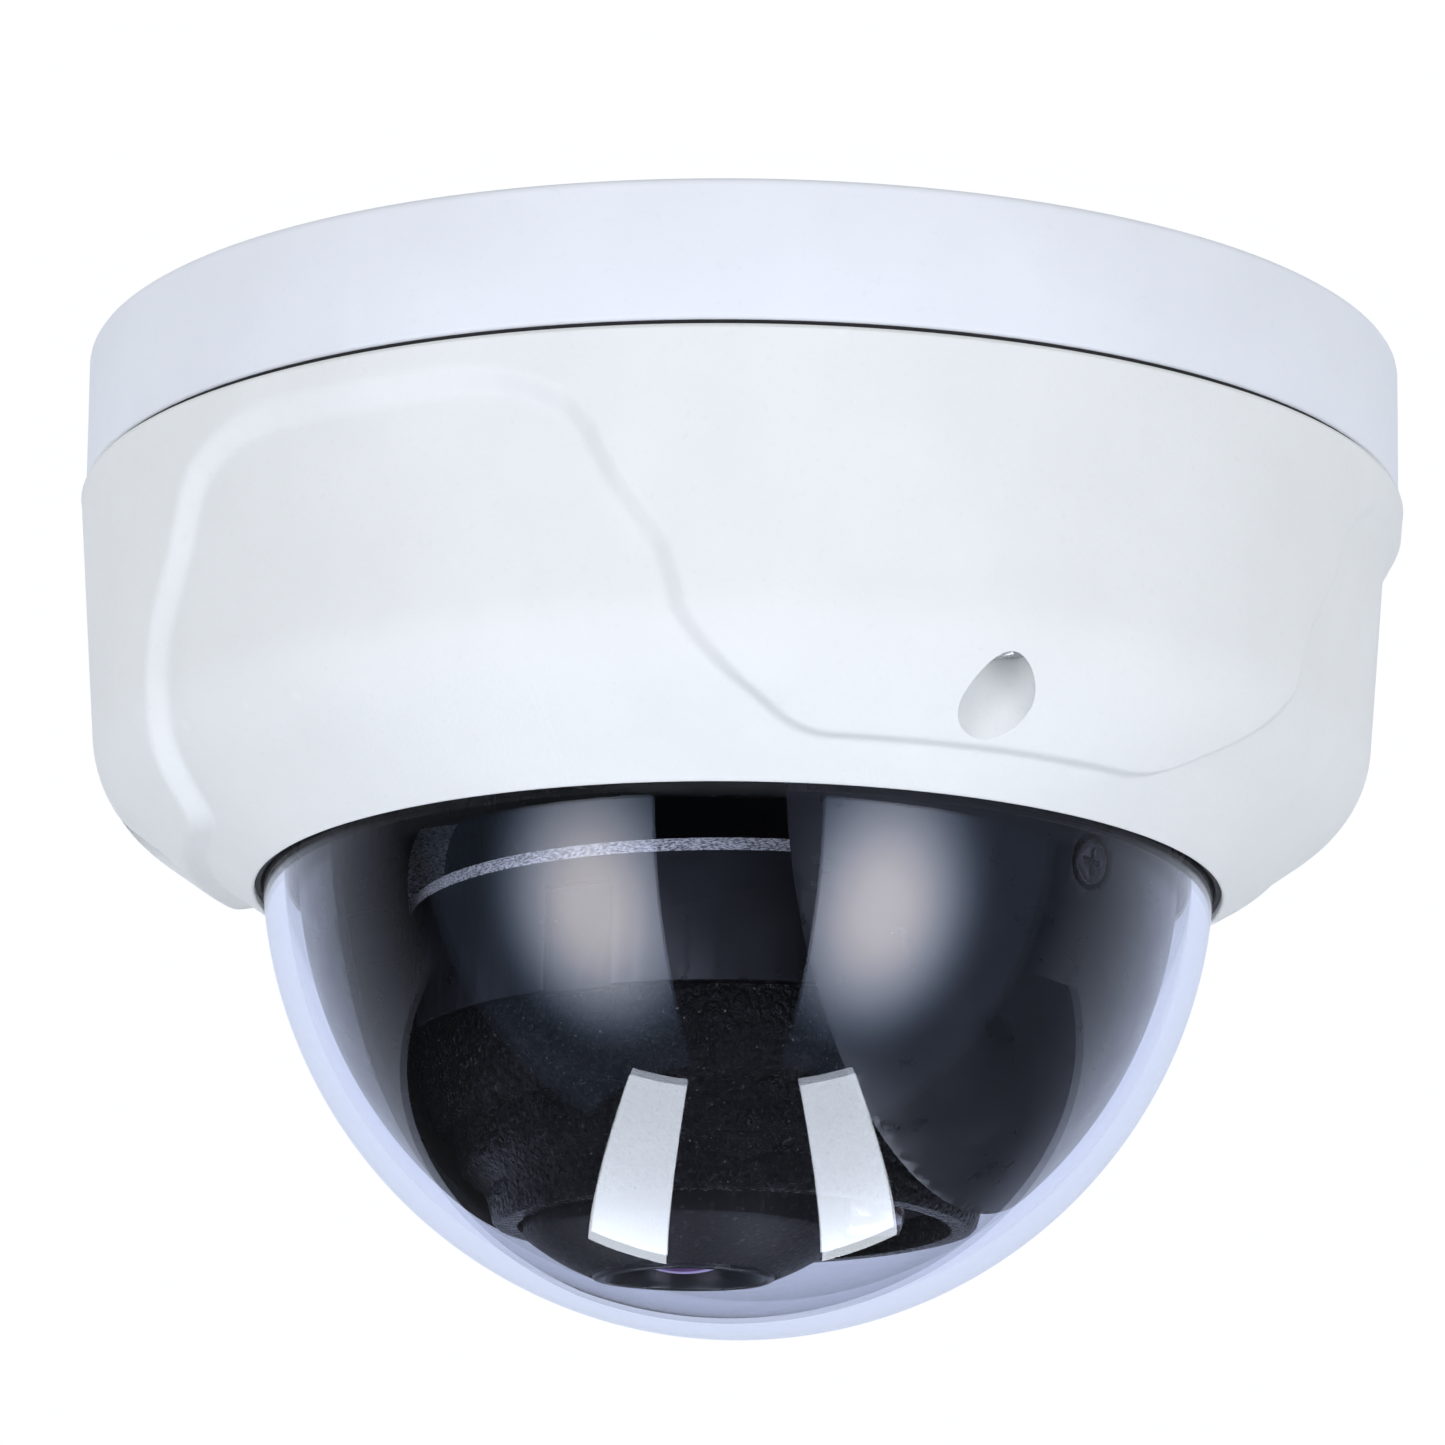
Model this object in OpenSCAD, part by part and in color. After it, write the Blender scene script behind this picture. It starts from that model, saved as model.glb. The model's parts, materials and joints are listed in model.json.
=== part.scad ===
// Ceiling dome camera: cast base, screwed cover with a clear dome, and a
// three-axis camera module (pan, tilt, roll) behind a black liner.
// Millimetres. Z = 0 is the ceiling face and the dome hangs towards -Z.
// Azimuth 0 points along -Y and grows anticlockwise seen from above.

/* [Housing] */
// Outside diameter of the cover at its top edge
cover_d = 111.2; // [109:0.2:114]
// Height of the cast base, from the ceiling down to the seam
base_h = 11.7; // [10:0.1:14]
// Wall thickness of the cast cover
cover_wall = 2.2; // [1.8:0.1:2.6]
// Depth of the three recessed panels on the cover
panel_depth = 1.3; // [0.8:0.1:1.6]

/* [Dome] */
// Outside radius of the clear dome
dome_r = 39.7; // [39.4:0.1:39.8]
// Wall thickness of the clear dome
dome_wall = 1.8; // [1.6:0.1:1.9]
// Depth of the dome's centre, which all three camera axes pass, below the ceiling
centre_depth = 42.4; // [42:0.1:43]

/* [Camera module] */
// Direction in which the camera was last panned, in degrees
pan_rest = 5.7; // [0:0.1:15]
// Angle at which the camera was last rolled about its lens, in degrees
roll_rest = 34; // [0:1:60]
// Radius of the smooth tilt housing
frame_r = 27.2; // [26.5:0.1:27.4]
// Radius of the rim round the lens face
rim_r = 19.8; // [19:0.1:20]
// Distance of the lens from the middle of the face
lens_offset = 4.1; // [3:0.1:5]

/* [Fixings] */
// Pitch circle radius of the three ceiling screws
mount_pcr = 47.5; // [46:0.5:48]
// Radius of each ceiling screw hole
mount_hole_r = 2.25; // [2:0.05:2.5]
// Radius of the cable bore in the grommet
cable_bore_r = 3.5; // [2.5:0.1:4]
// Azimuth of the first cover screw
cover_screw_az = 57.8; // [55:0.1:62]

/* [Hidden] */

$fn = 96;
over = 1;                         // how far a cutter passes a face
slip = 0.3;                       // gap between neighbours that do not touch

cover_r = cover_d / 2;
base_r = cover_r - 0.4;
base_inner_r = base_r - 2.6;
plate_t = 2.5;
gasket_t = 0.4;
cover_top = -base_h - gasket_t;
cz = -centre_depth;

// Cover outline: a slightly tapered side, a long round shoulder and a chamfer
corner_r = cover_r - 1.85;
corner_z = cover_top - 25.4;
shoulder_r = 9.6;
chamfer_angle = 35.7;
lip_r = dome_r + 0.6;
lip_z = cz - 3;
relief_end_z = cz - 0.3;          // the raised tongues stop here

// Dome seat inside the cover
seat_r = 43.3;
seat_z = cz + 0.2;
flange_bottom = seat_z + 1.2;
flange_top = flange_bottom + 2.1;
ring_top = flange_top + 2;
ring_screw_r = 41.4;

// Cover screws
screw_r = 50;
screw_recess_r = 3.05;
screw_shaft_r = 1.45;
screw_seat_z = -33;
screw_head_h = 3;
boss_end = cover_top - 0.8;

// Circuit board
board_top = -8.4;
board_bottom = -10;
board_r = 43;
standoff_r = 38;

// Fixed ring that carries the pan ring, and its posts
chassis_top = -28.5;
chassis_bottom = -31;
chassis_bore_r = 39.6;
chassis_outer_r = 44.8;
post_az = cover_screw_az - 30;
post_pcr = 46.5;

// Pan ring and liner
pan_inner_r = 37.6;
pan_neck_r = 39.3;
pan_flange_r = 43;
pan_bottom = -33.5;
pan_top = -27.2;
liner_r = 36.7;
liner_inner_r = 35.6;
slot_half = 20.5;

// Tilt brackets and the housing between them
bracket_x = 28.4;
bracket_t = 2.2;
pin_r = 2.5;
frame_top = cz - 4.4;
frame_bottom = cz - 15.9;
frame_wall = 1.8;

// Camera module, from its shoulder down to its rim
module_top = frame_bottom - slip;
rim_z = cz - 30.9;
face_z = rim_z + 3.5;
platform_r = 13.2;
crown_z = cz - 36.2;               // lowest point of the crowned platform round the lens
crown_curve = 21.2;
lens_z = cz - 33.6;
face_recess_r = 17.8;
plug_r = 15.2;
trim_r = 7.5;
barrel_r = 6.1;
glass_r = 5.6;
window_x = 11.6;
window_w = 4.4;
window_l = 10;
led_seat_z = face_z + 4.6;
board_seat_z = face_z + 12.2;
cooler_seat_z = board_seat_z + 1.6;

function unit(v) = v / norm(v);

// Points of a round of radius rad at corner c between points a and b
function round_corner(a, c, b, rad, steps = 6) =
    let (u = unit(a - c), v = unit(b - c),
         half = acos(u * v) / 2,
         mid = c + unit(u + v) * rad / sin(half),
         p = c + u * rad / tan(half) - mid,
         q = c + v * rad / tan(half) - mid,
         start = atan2(p[1], p[0]),
         turn = atan2(p[0] * q[1] - p[1] * q[0], p * q))
    [for (i = [0:steps])
        mid + rad * [cos(start + turn * i / steps), sin(start + turn * i / steps)]];

// Outside of the cover moved inwards by d, from its top edge to the lip
function cover_line(d) =
    let (top = [cover_r - d, cover_top],
         corner = [corner_r - d,
                   corner_z + d * (1 - sin(chamfer_angle)) / cos(chamfer_angle)],
         low = corner - 15 * [cos(chamfer_angle), sin(chamfer_angle)])
    concat([top], round_corner(top, corner, low, shoulder_r - d), [low]);

module at_az(az, r = 0) {
    rotate([0, 0, az]) translate([0, -r, 0]) children();
}

module thirds(start = 0) {
    for (i = [0:2]) rotate([0, 0, start + 120 * i]) children();
}

// Cylinder between two heights
module post(r, z0, z1) {
    translate([0, 0, min(z0, z1)]) cylinder(r = r, h = abs(z1 - z0));
}

// Ring between two heights
module ring(r_out, r_in, z0, z1) {
    difference() {
        post(r_out, z0, z1);
        post(r_in, min(z0, z1) - over, max(z0, z1) + over);
    }
}

// Box centred on x and y between two heights
module slab(x, y, z0, z1) {
    translate([-x / 2, -y / 2, min(z0, z1)]) cube([x, y, abs(z1 - z0)]);
}

// Screw with a pan head of radius head_r above z and a shaft that ends at tip
module pan_screw(head_r, head_h, shaft_r, z, tip) {
    head_end = z + (tip > z ? -head_h : head_h);
    difference() {
        union() {
            post(head_r, z, head_end);
            post(shaft_r, z, tip);
        }
        for (a = [0, 90]) rotate([0, 0, a])
            translate([0, 0, head_end]) cube([head_r * 1.2, head_r * 0.3, head_h], center = true);
    }
}

// ---- Base: fixed to the ceiling ----

module mounting_base() color([0.89, 0.91, 0.95]) {
    wire_hole_r = 9;
    difference() {
        union() {
            post(base_r, 0, -base_h);
            thirds(cover_screw_az) at_az(0, screw_r) post(3.5, -1, boss_end);
        }
        difference() {
            post(base_inner_r, -plate_t, -base_h - over);
            thirds(cover_screw_az) at_az(0, screw_r) post(3.5, 0, -base_h - 2);
        }
        thirds() at_az(0, mount_pcr) post(mount_hole_r, over, -plate_t - over);
        thirds(cover_screw_az) at_az(0, screw_r) post(1.5, -1.2, boss_end - over);
        post(wire_hole_r, over, -plate_t - over);
    }
}

module base_gasket() color([0.25, 0.25, 0.27]) difference() {
    ring(base_r - 0.3, base_inner_r + 0.3, -base_h, cover_top);
    thirds(cover_screw_az) at_az(0, screw_r) post(3.6, -base_h + over, cover_top - over);
}

module cable_grommet() color([0.12, 0.12, 0.12]) {
    difference() {
        union() {
            post(9, 0, -plate_t);
            post(11, -plate_t, -plate_t - 1.6);
        }
        post(cable_bore_r, over, -plate_t - 2 * over);
    }
}

module chassis_posts() color([0.75, 0.76, 0.78])
    thirds(post_az) at_az(0, post_pcr) difference() {
        post(3, -plate_t, chassis_top);
        post(1.2, chassis_top - over, chassis_top + 6);
    }

module chassis_ring() color([0.08, 0.08, 0.09]) {
    difference() {
        union() {
            post(chassis_outer_r, chassis_bottom, chassis_top);
            thirds(post_az) at_az(0, post_pcr) post(3.2, chassis_bottom, chassis_top);
        }
        post(chassis_bore_r, chassis_bottom - over, chassis_top + over);
        thirds(post_az) at_az(0, post_pcr) post(1.6, chassis_bottom - over, chassis_top + over);
    }
}

module chassis_screws() color([0.75, 0.75, 0.77])
    thirds(post_az) at_az(0, post_pcr)
        mirror([0, 0, 1]) pan_screw(2.4, 1.6, 1.15, -chassis_bottom, -chassis_top - 5);

module main_board() color([0.05, 0.28, 0.14]) {
    difference() {
        post(board_r, board_top, board_bottom);
        post(8, board_top + over, board_bottom - over);
        thirds() at_az(0, standoff_r) post(1.5, board_top + over, board_bottom - over);
    }
}

module board_standoffs() color([0.78, 0.70, 0.42])
    thirds() at_az(0, standoff_r) difference() {
        post(2.5, -plate_t, board_top);
        post(1.2, board_top - over, board_top + 4.5);
    }

module board_screws() color([0.75, 0.75, 0.77])
    thirds() at_az(0, standoff_r)
        mirror([0, 0, 1]) pan_screw(2.3, 1.5, 1.15, -board_bottom, -board_top - 3.5);

module processor_heatsink() color([0.55, 0.57, 0.60])
    translate([0, 26, 0]) difference() {
        slab(18, 14, board_bottom, board_bottom - 5.5);
        for (i = [-2:2]) translate([3.6 * i, 0, 0])
            slab(1.8, 16, board_bottom - 1.8, board_bottom - 6);
    }

// Open plug-in shell with its pins, mouth facing away from the board
module socket_shell(x, y, h, pins) {
    wall = 1;
    difference() {
        slab(x, y, board_bottom, board_bottom - h);
        slab(x - 2 * wall, y - 2 * wall, board_bottom - 1.2, board_bottom - h - over);
    }
    for (i = [0:pins - 1])
        translate([(i - (pins - 1) / 2) * (x - 3) / pins, 0, 0])
            slab(0.6, 0.6, board_bottom - 1, board_bottom - h + 1.5);
}

module network_connector() color([0.92, 0.91, 0.86])
    translate([-26, 16, 0]) rotate([0, 0, 35]) socket_shell(17, 6.4, 6.5, 8);

module power_connector() color([0.92, 0.91, 0.86])
    translate([-15, -29, 0]) rotate([0, 0, 20]) socket_shell(8, 6.4, 6.5, 2);

module board_capacitors() color([0.20, 0.22, 0.30])
    for (p = [[20, -28], [12, -33], [-36, 0]]) translate([p[0], p[1], 0]) {
        post(3.1, board_bottom, board_bottom - 6.5);
        slab(6.6, 6.6, board_bottom, board_bottom - 1);
    }

module board_chips() color([0.10, 0.10, 0.11]) {
    for (p = [[-18, 0, 9], [14, 4, 7], [0, -20, 8], [18, -12, 5]])
        translate([p[0], p[1], 0]) slab(p[2], p[2], board_bottom, board_bottom - 1.2);
}

module ribbon_socket() color([0.85, 0.82, 0.74])
    translate([20, 28, 0]) rotate([0, 0, -35]) difference() {
        slab(14, 5, board_bottom, board_bottom - 2.4);
        translate([0, 1.6, 0]) slab(11.6, 3.4, board_bottom - 0.8, board_bottom - 1.6);
    }

card_x = 33;
card_w = 11;
card_l = 15;
card_gap = 0.2;

module card_socket() color([0.72, 0.73, 0.75])
    translate([card_x, 0, 0]) difference() {
        slab(card_w + 3, 14, board_bottom, board_bottom - 2.2);
        translate([0, -over, 0]) slab(card_w + 2 * card_gap, 14.5, board_bottom - 0.4, board_bottom - 1.8);
    }

module memory_card() color([0.12, 0.12, 0.13])
    translate([card_x, -2.2, 0]) difference() {
        slab(card_w, card_l, board_bottom - 0.6, board_bottom - 1.6);
        translate([0, -card_l / 2 + 1, 0]) slab(8, 0.6, board_bottom - 1.4, board_bottom - 2);
    }

button_x = -22;
button_y = -17;
button_r = 1.75;

module reset_switch() color([0.70, 0.71, 0.73])
    translate([button_x, button_y, 0]) difference() {
        slab(6, 6, board_bottom, board_bottom - 3.5);
        post(button_r + 0.1, board_bottom - 1.2, board_bottom - 3.5 - over);
    }

module reset_button() color([0.10, 0.10, 0.11])
    translate([button_x, button_y, 0]) post(button_r, board_bottom - 1.6, board_bottom - 5);

// ---- Cover: comes off downwards with the dome ----

// Everything inside the cover outline moved inwards by d, down to the lip
module cover_solid(d) {
    rotate_extrude() intersection() {
        polygon(concat([[0, cover_top]], cover_line(d), [[0, corner_z - 20]]));
        translate([0, lip_z]) square([cover_r + over, cover_top - lip_z]);
    }
}

// Half outline of a recessed panel: narrow at the top, spreading along the shoulder
panel_top = cover_top - 3.4;
panel_side = [[13, panel_top], [16.4, panel_top - 1.2], [18.6, panel_top - 3],
              [20.5, panel_top - 6], [24.6, panel_top - 14], [25.8, panel_top - 19],
              [27.4, panel_top - 23], [34, lip_z - over]];

module panel_prism() {
    left = [for (i = [len(panel_side) - 1:-1:0]) [-panel_side[i][0], panel_side[i][1]]];
    translate([0, -20, 0]) rotate([90, 0, 0])
        linear_extrude(height = 60) polygon(concat(panel_side, left));
}

module cover_shell() color([0.92, 0.93, 0.94]) {
    spigot_r = base_inner_r - 0.4;
    difference() {
        union() {
            difference() {
                cover_solid(0);
                difference() {
                    union() {
                        thirds() panel_prism();
                        post(cover_r + 5, relief_end_z, lip_z - over);
                    }
                    cover_solid(panel_depth);
                }
                intersection() {
                    cover_solid(panel_depth + cover_wall);
                    post(cover_r, cover_top - 1, seat_z + 0.6);
                }
                post(spigot_r - 2, cover_top + over, cover_top - 2);
            }
            ring(spigot_r, spigot_r - 2, cover_top - 0.5, cover_top + 3.5);
            intersection() {
                cover_solid(panel_depth + 0.4);
                thirds(cover_screw_az) at_az(0, screw_r) post(4.6, boss_end - 0.4, lip_z);
            }
        }
        post(seat_r, seat_z, seat_z + 4);
        post(lip_r, seat_z + over, lip_z - over);
        thirds(cover_screw_az) at_az(0, screw_r) {
            post(screw_recess_r, screw_seat_z, lip_z - over);
            post(screw_shaft_r + 0.15, screw_seat_z - over, boss_end + over);
            post(4, boss_end - 0.4, cover_top + 4);
        }
        for (i = [0:5]) at_az(30 + 60 * i, ring_screw_r) post(0.85, seat_z + over, seat_z - 1.4);
    }
}

module dome_bubble() color([0.85, 0.88, 0.95, 0.35]) {
    inner = dome_r - dome_wall;
    difference() {
        union() {
            translate([0, 0, cz]) sphere(r = dome_r);
            post(seat_r - 0.3, flange_bottom, flange_top);
            post(dome_r, cz, flange_bottom + 0.5);
        }
        translate([0, 0, cz]) sphere(r = inner);
        post(inner, cz, cz + dome_r + over);
        ring(dome_r + over, inner - over, flange_top, cz + dome_r + over);
        for (i = [0:5]) at_az(30 + 60 * i, ring_screw_r) post(1.1, flange_top + over, flange_bottom - over);
    }
}

module dome_seal() color([0.06, 0.06, 0.07]) {
    difference() {
        union() {
            ring(seat_r - 0.3, dome_r + 0.1, seat_z, flange_bottom);
            ring(lip_r - 0.05, dome_r + 0.1, seat_z, lip_z + 0.4);
        }
        for (i = [0:5]) at_az(30 + 60 * i, ring_screw_r) post(1.1, flange_bottom + over, seat_z - 0.1);
    }
}

module dome_retaining_ring() color([0.14, 0.14, 0.15]) {
    difference() {
        ring(45, 38.5, flange_top, ring_top);
        for (i = [0:5]) at_az(30 + 60 * i, ring_screw_r) post(1.1, flange_top - over, ring_top + over);
    }
}

module dome_ring_screws() color([0.75, 0.75, 0.77])
    for (i = [0:5]) at_az(30 + 60 * i, ring_screw_r)
        pan_screw(1.7, 1.1, 0.8, ring_top, seat_z - 1.2);

// Captive screw: its head sits in the deep recess and its tip is in a base boss
module cover_screw(i) color([0.70, 0.71, 0.73])
    at_az(cover_screw_az + 120 * i, screw_r) difference() {
        union() {
            post(2.75, screw_seat_z, screw_seat_z - screw_head_h);
            post(screw_shaft_r, screw_seat_z, -2);
        }
        translate([0, 0, screw_seat_z - screw_head_h - over])
            cylinder(r = 1.45, h = 2 + over, $fn = 6);
    }

module cover_screw_1() cover_screw(0);
module cover_screw_2() cover_screw(1);
module cover_screw_3() cover_screw(2);

// ---- Pan group: turns about the vertical axis ----

module panned() {
    rotate([0, 0, pan_rest]) children();
}

// Both sides along x
module both_sides() {
    for (s = [0, 1]) mirror([s, 0, 0]) children();
}

module pan_ring() color([0.09, 0.09, 0.10]) panned() {
    difference() {
        union() {
            ring(pan_neck_r, pan_inner_r, pan_bottom, pan_top);
            ring(pan_flange_r, pan_inner_r, pan_bottom, chassis_bottom - slip / 2);
        }
        for (a = [45:90:315]) at_az(a, 40.5) post(1, pan_bottom - over, pan_bottom + 1.6);
    }
}

module pan_keeper() color([0.60, 0.61, 0.63]) panned()
    difference() {
        ring(42, pan_neck_r, chassis_top + 0.15, pan_top);
        translate([0, -41, 0]) slab(5, 8, chassis_top, pan_top + over);
    }

// Radial frame of the two screws that hold the liner to the brackets
liner_screw_az = 78.5;
liner_screw_drop = 8;

module at_liner_screw() {
    rotate([0, 0, liner_screw_az])
        translate([0, 0, cz]) rotate([90 + liner_screw_drop, 0, 0]) children();
}

module tilt_brackets() color([0.10, 0.10, 0.11]) panned() both_sides() {
    ear_w = 16;
    difference() {
        union() {
            translate([bracket_x, 0, cz]) rotate([0, 90, 0]) cylinder(r = ear_w / 2, h = bracket_t);
            translate([bracket_x + bracket_t / 2, 0, 0]) slab(bracket_t, ear_w, cz, pan_top + 2);
            translate([(bracket_x + 41) / 2, 0, 0]) slab(41 - bracket_x, ear_w, pan_top, pan_top + 2);
            at_liner_screw() post(2.4, bracket_x + 1.6, liner_inner_r - slip);
        }
        at_liner_screw() post(0.9, liner_inner_r - 4, liner_inner_r + over);
        translate([bracket_x - over, 0, cz]) rotate([0, 90, 0]) cylinder(r = pin_r + 0.05, h = 5);
        for (y = [-5, 5]) translate([38.4, y, 0]) post(0.8, pan_top - over, pan_top + 2 + over);
    }
}

module bracket_screws() color([0.75, 0.75, 0.77]) panned() both_sides()
    for (y = [-5, 5]) translate([38.4, y, 0])
        pan_screw(1.7, 1.1, 0.7, pan_top + 2, pan_top + 0.1);

module liner() color([0.05, 0.05, 0.06]) panned() {
    flange_t = 1.2;
    difference() {
        union() {
            intersection() {
                translate([0, 0, cz]) sphere(r = liner_r);
                post(liner_r + over, cz, cz - liner_r - over);
            }
            post(liner_r, cz, pan_bottom);
            post(42, pan_bottom, pan_bottom - flange_t);
        }
        translate([0, 0, cz]) sphere(r = liner_inner_r);
        post(liner_inner_r, cz, pan_bottom + over);
        slot_rear = 23;
        translate([-slot_half, -60, cz - 60]) cube([2 * slot_half, 60 + slot_rear, 60]);
        translate([-slot_half, -60, cz - over]) cube([2 * slot_half, 60, 20]);
        both_sides() at_liner_screw() {
            post(2.3, liner_r - 0.7, liner_r + 3);
            post(0.9, liner_inner_r - 2, liner_r + 3);
        }
        for (a = [45, 135, 225, 315]) at_az(a, 40.5) post(1.1, pan_bottom + over, pan_bottom - 3);
    }
}

module liner_screws() color([0.55, 0.56, 0.58]) panned() {
    both_sides() at_liner_screw() difference() {
        union() {
            post(1.8, liner_r - 0.7, liner_r + 0.1);
            post(0.85, liner_r - 0.7, liner_inner_r - 3.5);
        }
        for (a = [0, 90]) rotate([0, 0, a]) slab(2.2, 0.5, liner_r - 0.3, liner_r + over);
    }
    for (a = [45, 135, 225, 315]) at_az(a, 40.5)
        post(0.95, pan_bottom + 1.4, pan_bottom - 1.2);
}

// ---- Tilt group: turns about the two pins ----

module tilt_frame() color([0.07, 0.07, 0.08]) panned() {
    inner_r = frame_r - frame_wall;
    lip_in = frame_r - 4;
    difference() {
        union() {
            ring(frame_r, inner_r, frame_bottom, frame_top);
            ring(inner_r + 0.2, lip_in, frame_bottom, frame_bottom + 1.6);
            both_sides() translate([inner_r - 1, 0, cz]) rotate([0, 90, 0])
                cylinder(r = 7, h = bracket_x - slip - inner_r + 1);
        }
        both_sides() translate([inner_r - 3, 0, cz]) rotate([0, 90, 0]) cylinder(r = pin_r - 0.3, h = 9);
        groove_cut();
    }
}

// Vertical finger groove at the front of the housing and the module
module groove_cut() {
    groove_w = 6;
    groove_depth = 1.2;
    translate([-groove_w / 2, -frame_r - 3, module_top - 5.5])
        cube([groove_w, 3 + groove_depth, frame_top - module_top + 2.5]);
}

module tilt_pins() color([0.62, 0.63, 0.65]) panned() both_sides()
    translate([0, 0, cz]) rotate([0, 90, 0]) difference() {
        union() {
            post(pin_r, bracket_x - slip, bracket_x + bracket_t + 0.3);
            post(pin_r - 0.3, bracket_x - slip - 3, bracket_x - slip);
        }
        for (a = [0, 90]) rotate([0, 0, a]) slab(3, 0.7, bracket_x + bracket_t - 0.4, bracket_x + 4);
    }

// ---- Roll group: turns inside the tilt housing about the lens axis ----

module rolled() {
    rotate([0, 0, roll_rest]) children();
}

// The four corners where the sensor board and its cooler are screwed down
module module_corners() {
    for (x = [-11, 11], y = [-11, 11]) translate([x, y, 0]) children();
}

module camera_module() color([0.10, 0.10, 0.11]) {
    shoulder_z = cz - 23;
    band_r = 22.7;
    neck_r = frame_r - 4 - slip;
    inner_r = neck_r - 2;
    outline = [[0, module_top], [frame_r - 0.2, module_top], [frame_r - 0.7, module_top - 3],
               [24.8, shoulder_z], [23.5, shoulder_z - 0.3], [band_r, shoulder_z - 3],
               [band_r - 0.2, shoulder_z - 3.6], [20.5, shoulder_z - 5.3],
               [rim_r, rim_z + 0.4], [rim_r - 0.4, rim_z], [0, rim_z]];
    difference() {
        rotate_extrude() polygon(outline);
        post(face_recess_r, face_z, rim_z - over);
        post(plug_r + 0.2, module_top + over, face_z - over);
        rotate_extrude() polygon([[0, module_top + over], [inner_r, module_top + over],
                                  [inner_r, module_top - 4], [plug_r + 0.2, shoulder_z],
                                  [0, shoulder_z]]);
        panned() groove_cut();
    }
    ring(neck_r, inner_r, module_top - 0.5, frame_bottom + 1.9);
    ring(frame_r - frame_wall - slip, inner_r, frame_bottom + 1.9, frame_bottom + 3.2);
    rolled() module_corners() difference() {
        post(2.5, shoulder_z - 0.6, board_seat_z);
        post(1.2, board_seat_z - 4, board_seat_z + over);
    }
}

module face_plate() color([0.13, 0.13, 0.14]) rolled() {
    frame_t = 0.8;
    difference() {
        union() {
            post(face_recess_r - 0.2, face_z, face_z - 0.9);
            translate([-lens_offset, 0, 0]) intersection() {
                post(platform_r, face_z, crown_z - over);
                translate([0, 0, crown_z + crown_curve]) sphere(r = crown_curve);
            }
            post(plug_r, face_z, face_z + 2.4);
            translate([window_x, 0, 0]) slab(window_w + 2 * frame_t, 8, face_z + 1, led_seat_z);
        }
        translate([-lens_offset, 0, 0]) post(trim_r + 0.1, led_seat_z + over, crown_z - over);
        translate([window_x, 0, 0]) slab(window_w + 0.2, window_l + 0.2, led_seat_z + over, face_z - 2);
    }
}

module lens_trim_ring() color([0.16, 0.16, 0.17]) rolled()
    translate([-lens_offset, 0, 0]) rotate_extrude()
        polygon([[barrel_r + 0.1, face_z + 2.4], [trim_r, face_z + 2.4], [trim_r, lens_z - 1.1],
                 [trim_r - 0.5, lens_z - 1.5], [trim_r - 0.9, lens_z - 1.4],
                 [barrel_r + 0.1, lens_z - 0.4]]);

module lens_barrel() color([0.09, 0.09, 0.10]) rolled()
    translate([-lens_offset, 0, 0]) difference() {
        union() {
            post(barrel_r, face_z + 7, lens_z + 0.9);
            post(barrel_r + 1.3, board_seat_z, face_z + 7);
        }
        post(glass_r, board_seat_z + over, lens_z - over);
    }

// Front element with a convex face, and its flat back
module lens_glass() color([0.30, 0.24, 0.34, 0.5]) rolled()
    translate([-lens_offset, 0, 0]) intersection() {
        post(glass_r, lens_z + 6, lens_z - 3);
        translate([0, 0, lens_z + 8.6]) sphere(r = 9.5);
    }

module infrared_window() color([0.12, 0.05, 0.08]) rolled()
    translate([window_x, 0, 0]) slab(window_w, window_l, face_z + 1.4, rim_z + 0.4);

module led_board() color([0.85, 0.85, 0.82]) rolled()
    translate([window_x, 0, 0]) slab(window_w + 1.6, 8, led_seat_z, led_seat_z + 1);

module infrared_leds() color([0.80, 0.80, 0.70]) rolled()
    for (y = [-2.1, 2.1]) translate([window_x, y, 0]) {
        slab(3.4, 3.4, led_seat_z, led_seat_z - 1);
        intersection() {
            post(1.5, led_seat_z - 0.5, led_seat_z - 3);
            translate([0, 0, led_seat_z - 1]) sphere(r = 1.5);
        }
    }

module sensor_board() color([0.05, 0.28, 0.14]) rolled() difference() {
    slab(26, 26, board_seat_z, cooler_seat_z);
    module_corners() post(1.3, board_seat_z - over, cooler_seat_z + over);
}

module image_sensor() color([0.20, 0.30, 0.32]) rolled()
    translate([-lens_offset, 0, 0]) slab(8, 7, board_seat_z - 1.4, board_seat_z);

module module_heatsink() color([0.55, 0.57, 0.60]) rolled() {
    fin_h = 5.2;
    difference() {
        slab(26, 26, cooler_seat_z, cooler_seat_z + fin_h);
        for (i = [-2:2]) translate([4 * i, 0, 0])
            slab(2, 28, cooler_seat_z + 1.8, cooler_seat_z + fin_h + over);
        module_corners() post(1.3, cooler_seat_z - over, cooler_seat_z + fin_h + over);
    }
}

module module_screws() color([0.75, 0.75, 0.77]) rolled()
    module_corners() pan_screw(1.9, 1.2, 1.15, cooler_seat_z + 5.2, board_seat_z - 3);

mounting_base();
base_gasket();
cable_grommet();
chassis_posts();
chassis_ring();
chassis_screws();
main_board();
board_standoffs();
board_screws();
processor_heatsink();
network_connector();
power_connector();
board_capacitors();
board_chips();
ribbon_socket();
card_socket();
memory_card();
reset_switch();
reset_button();
cover_shell();
dome_bubble();
dome_seal();
dome_retaining_ring();
dome_ring_screws();
cover_screw_1();
cover_screw_2();
cover_screw_3();
pan_ring();
pan_keeper();
tilt_brackets();
bracket_screws();
liner();
liner_screws();
tilt_frame();
tilt_pins();
camera_module();
face_plate();
lens_trim_ring();
lens_barrel();
lens_glass();
infrared_window();
led_board();
infrared_leds();
sensor_board();
image_sensor();
module_heatsink();
module_screws();
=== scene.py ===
"""Looks of the ceiling dome camera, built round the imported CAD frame."""
import json
import math

import bmesh
import bpy
import numpy as np
from mathutils import Matrix, Vector


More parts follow.
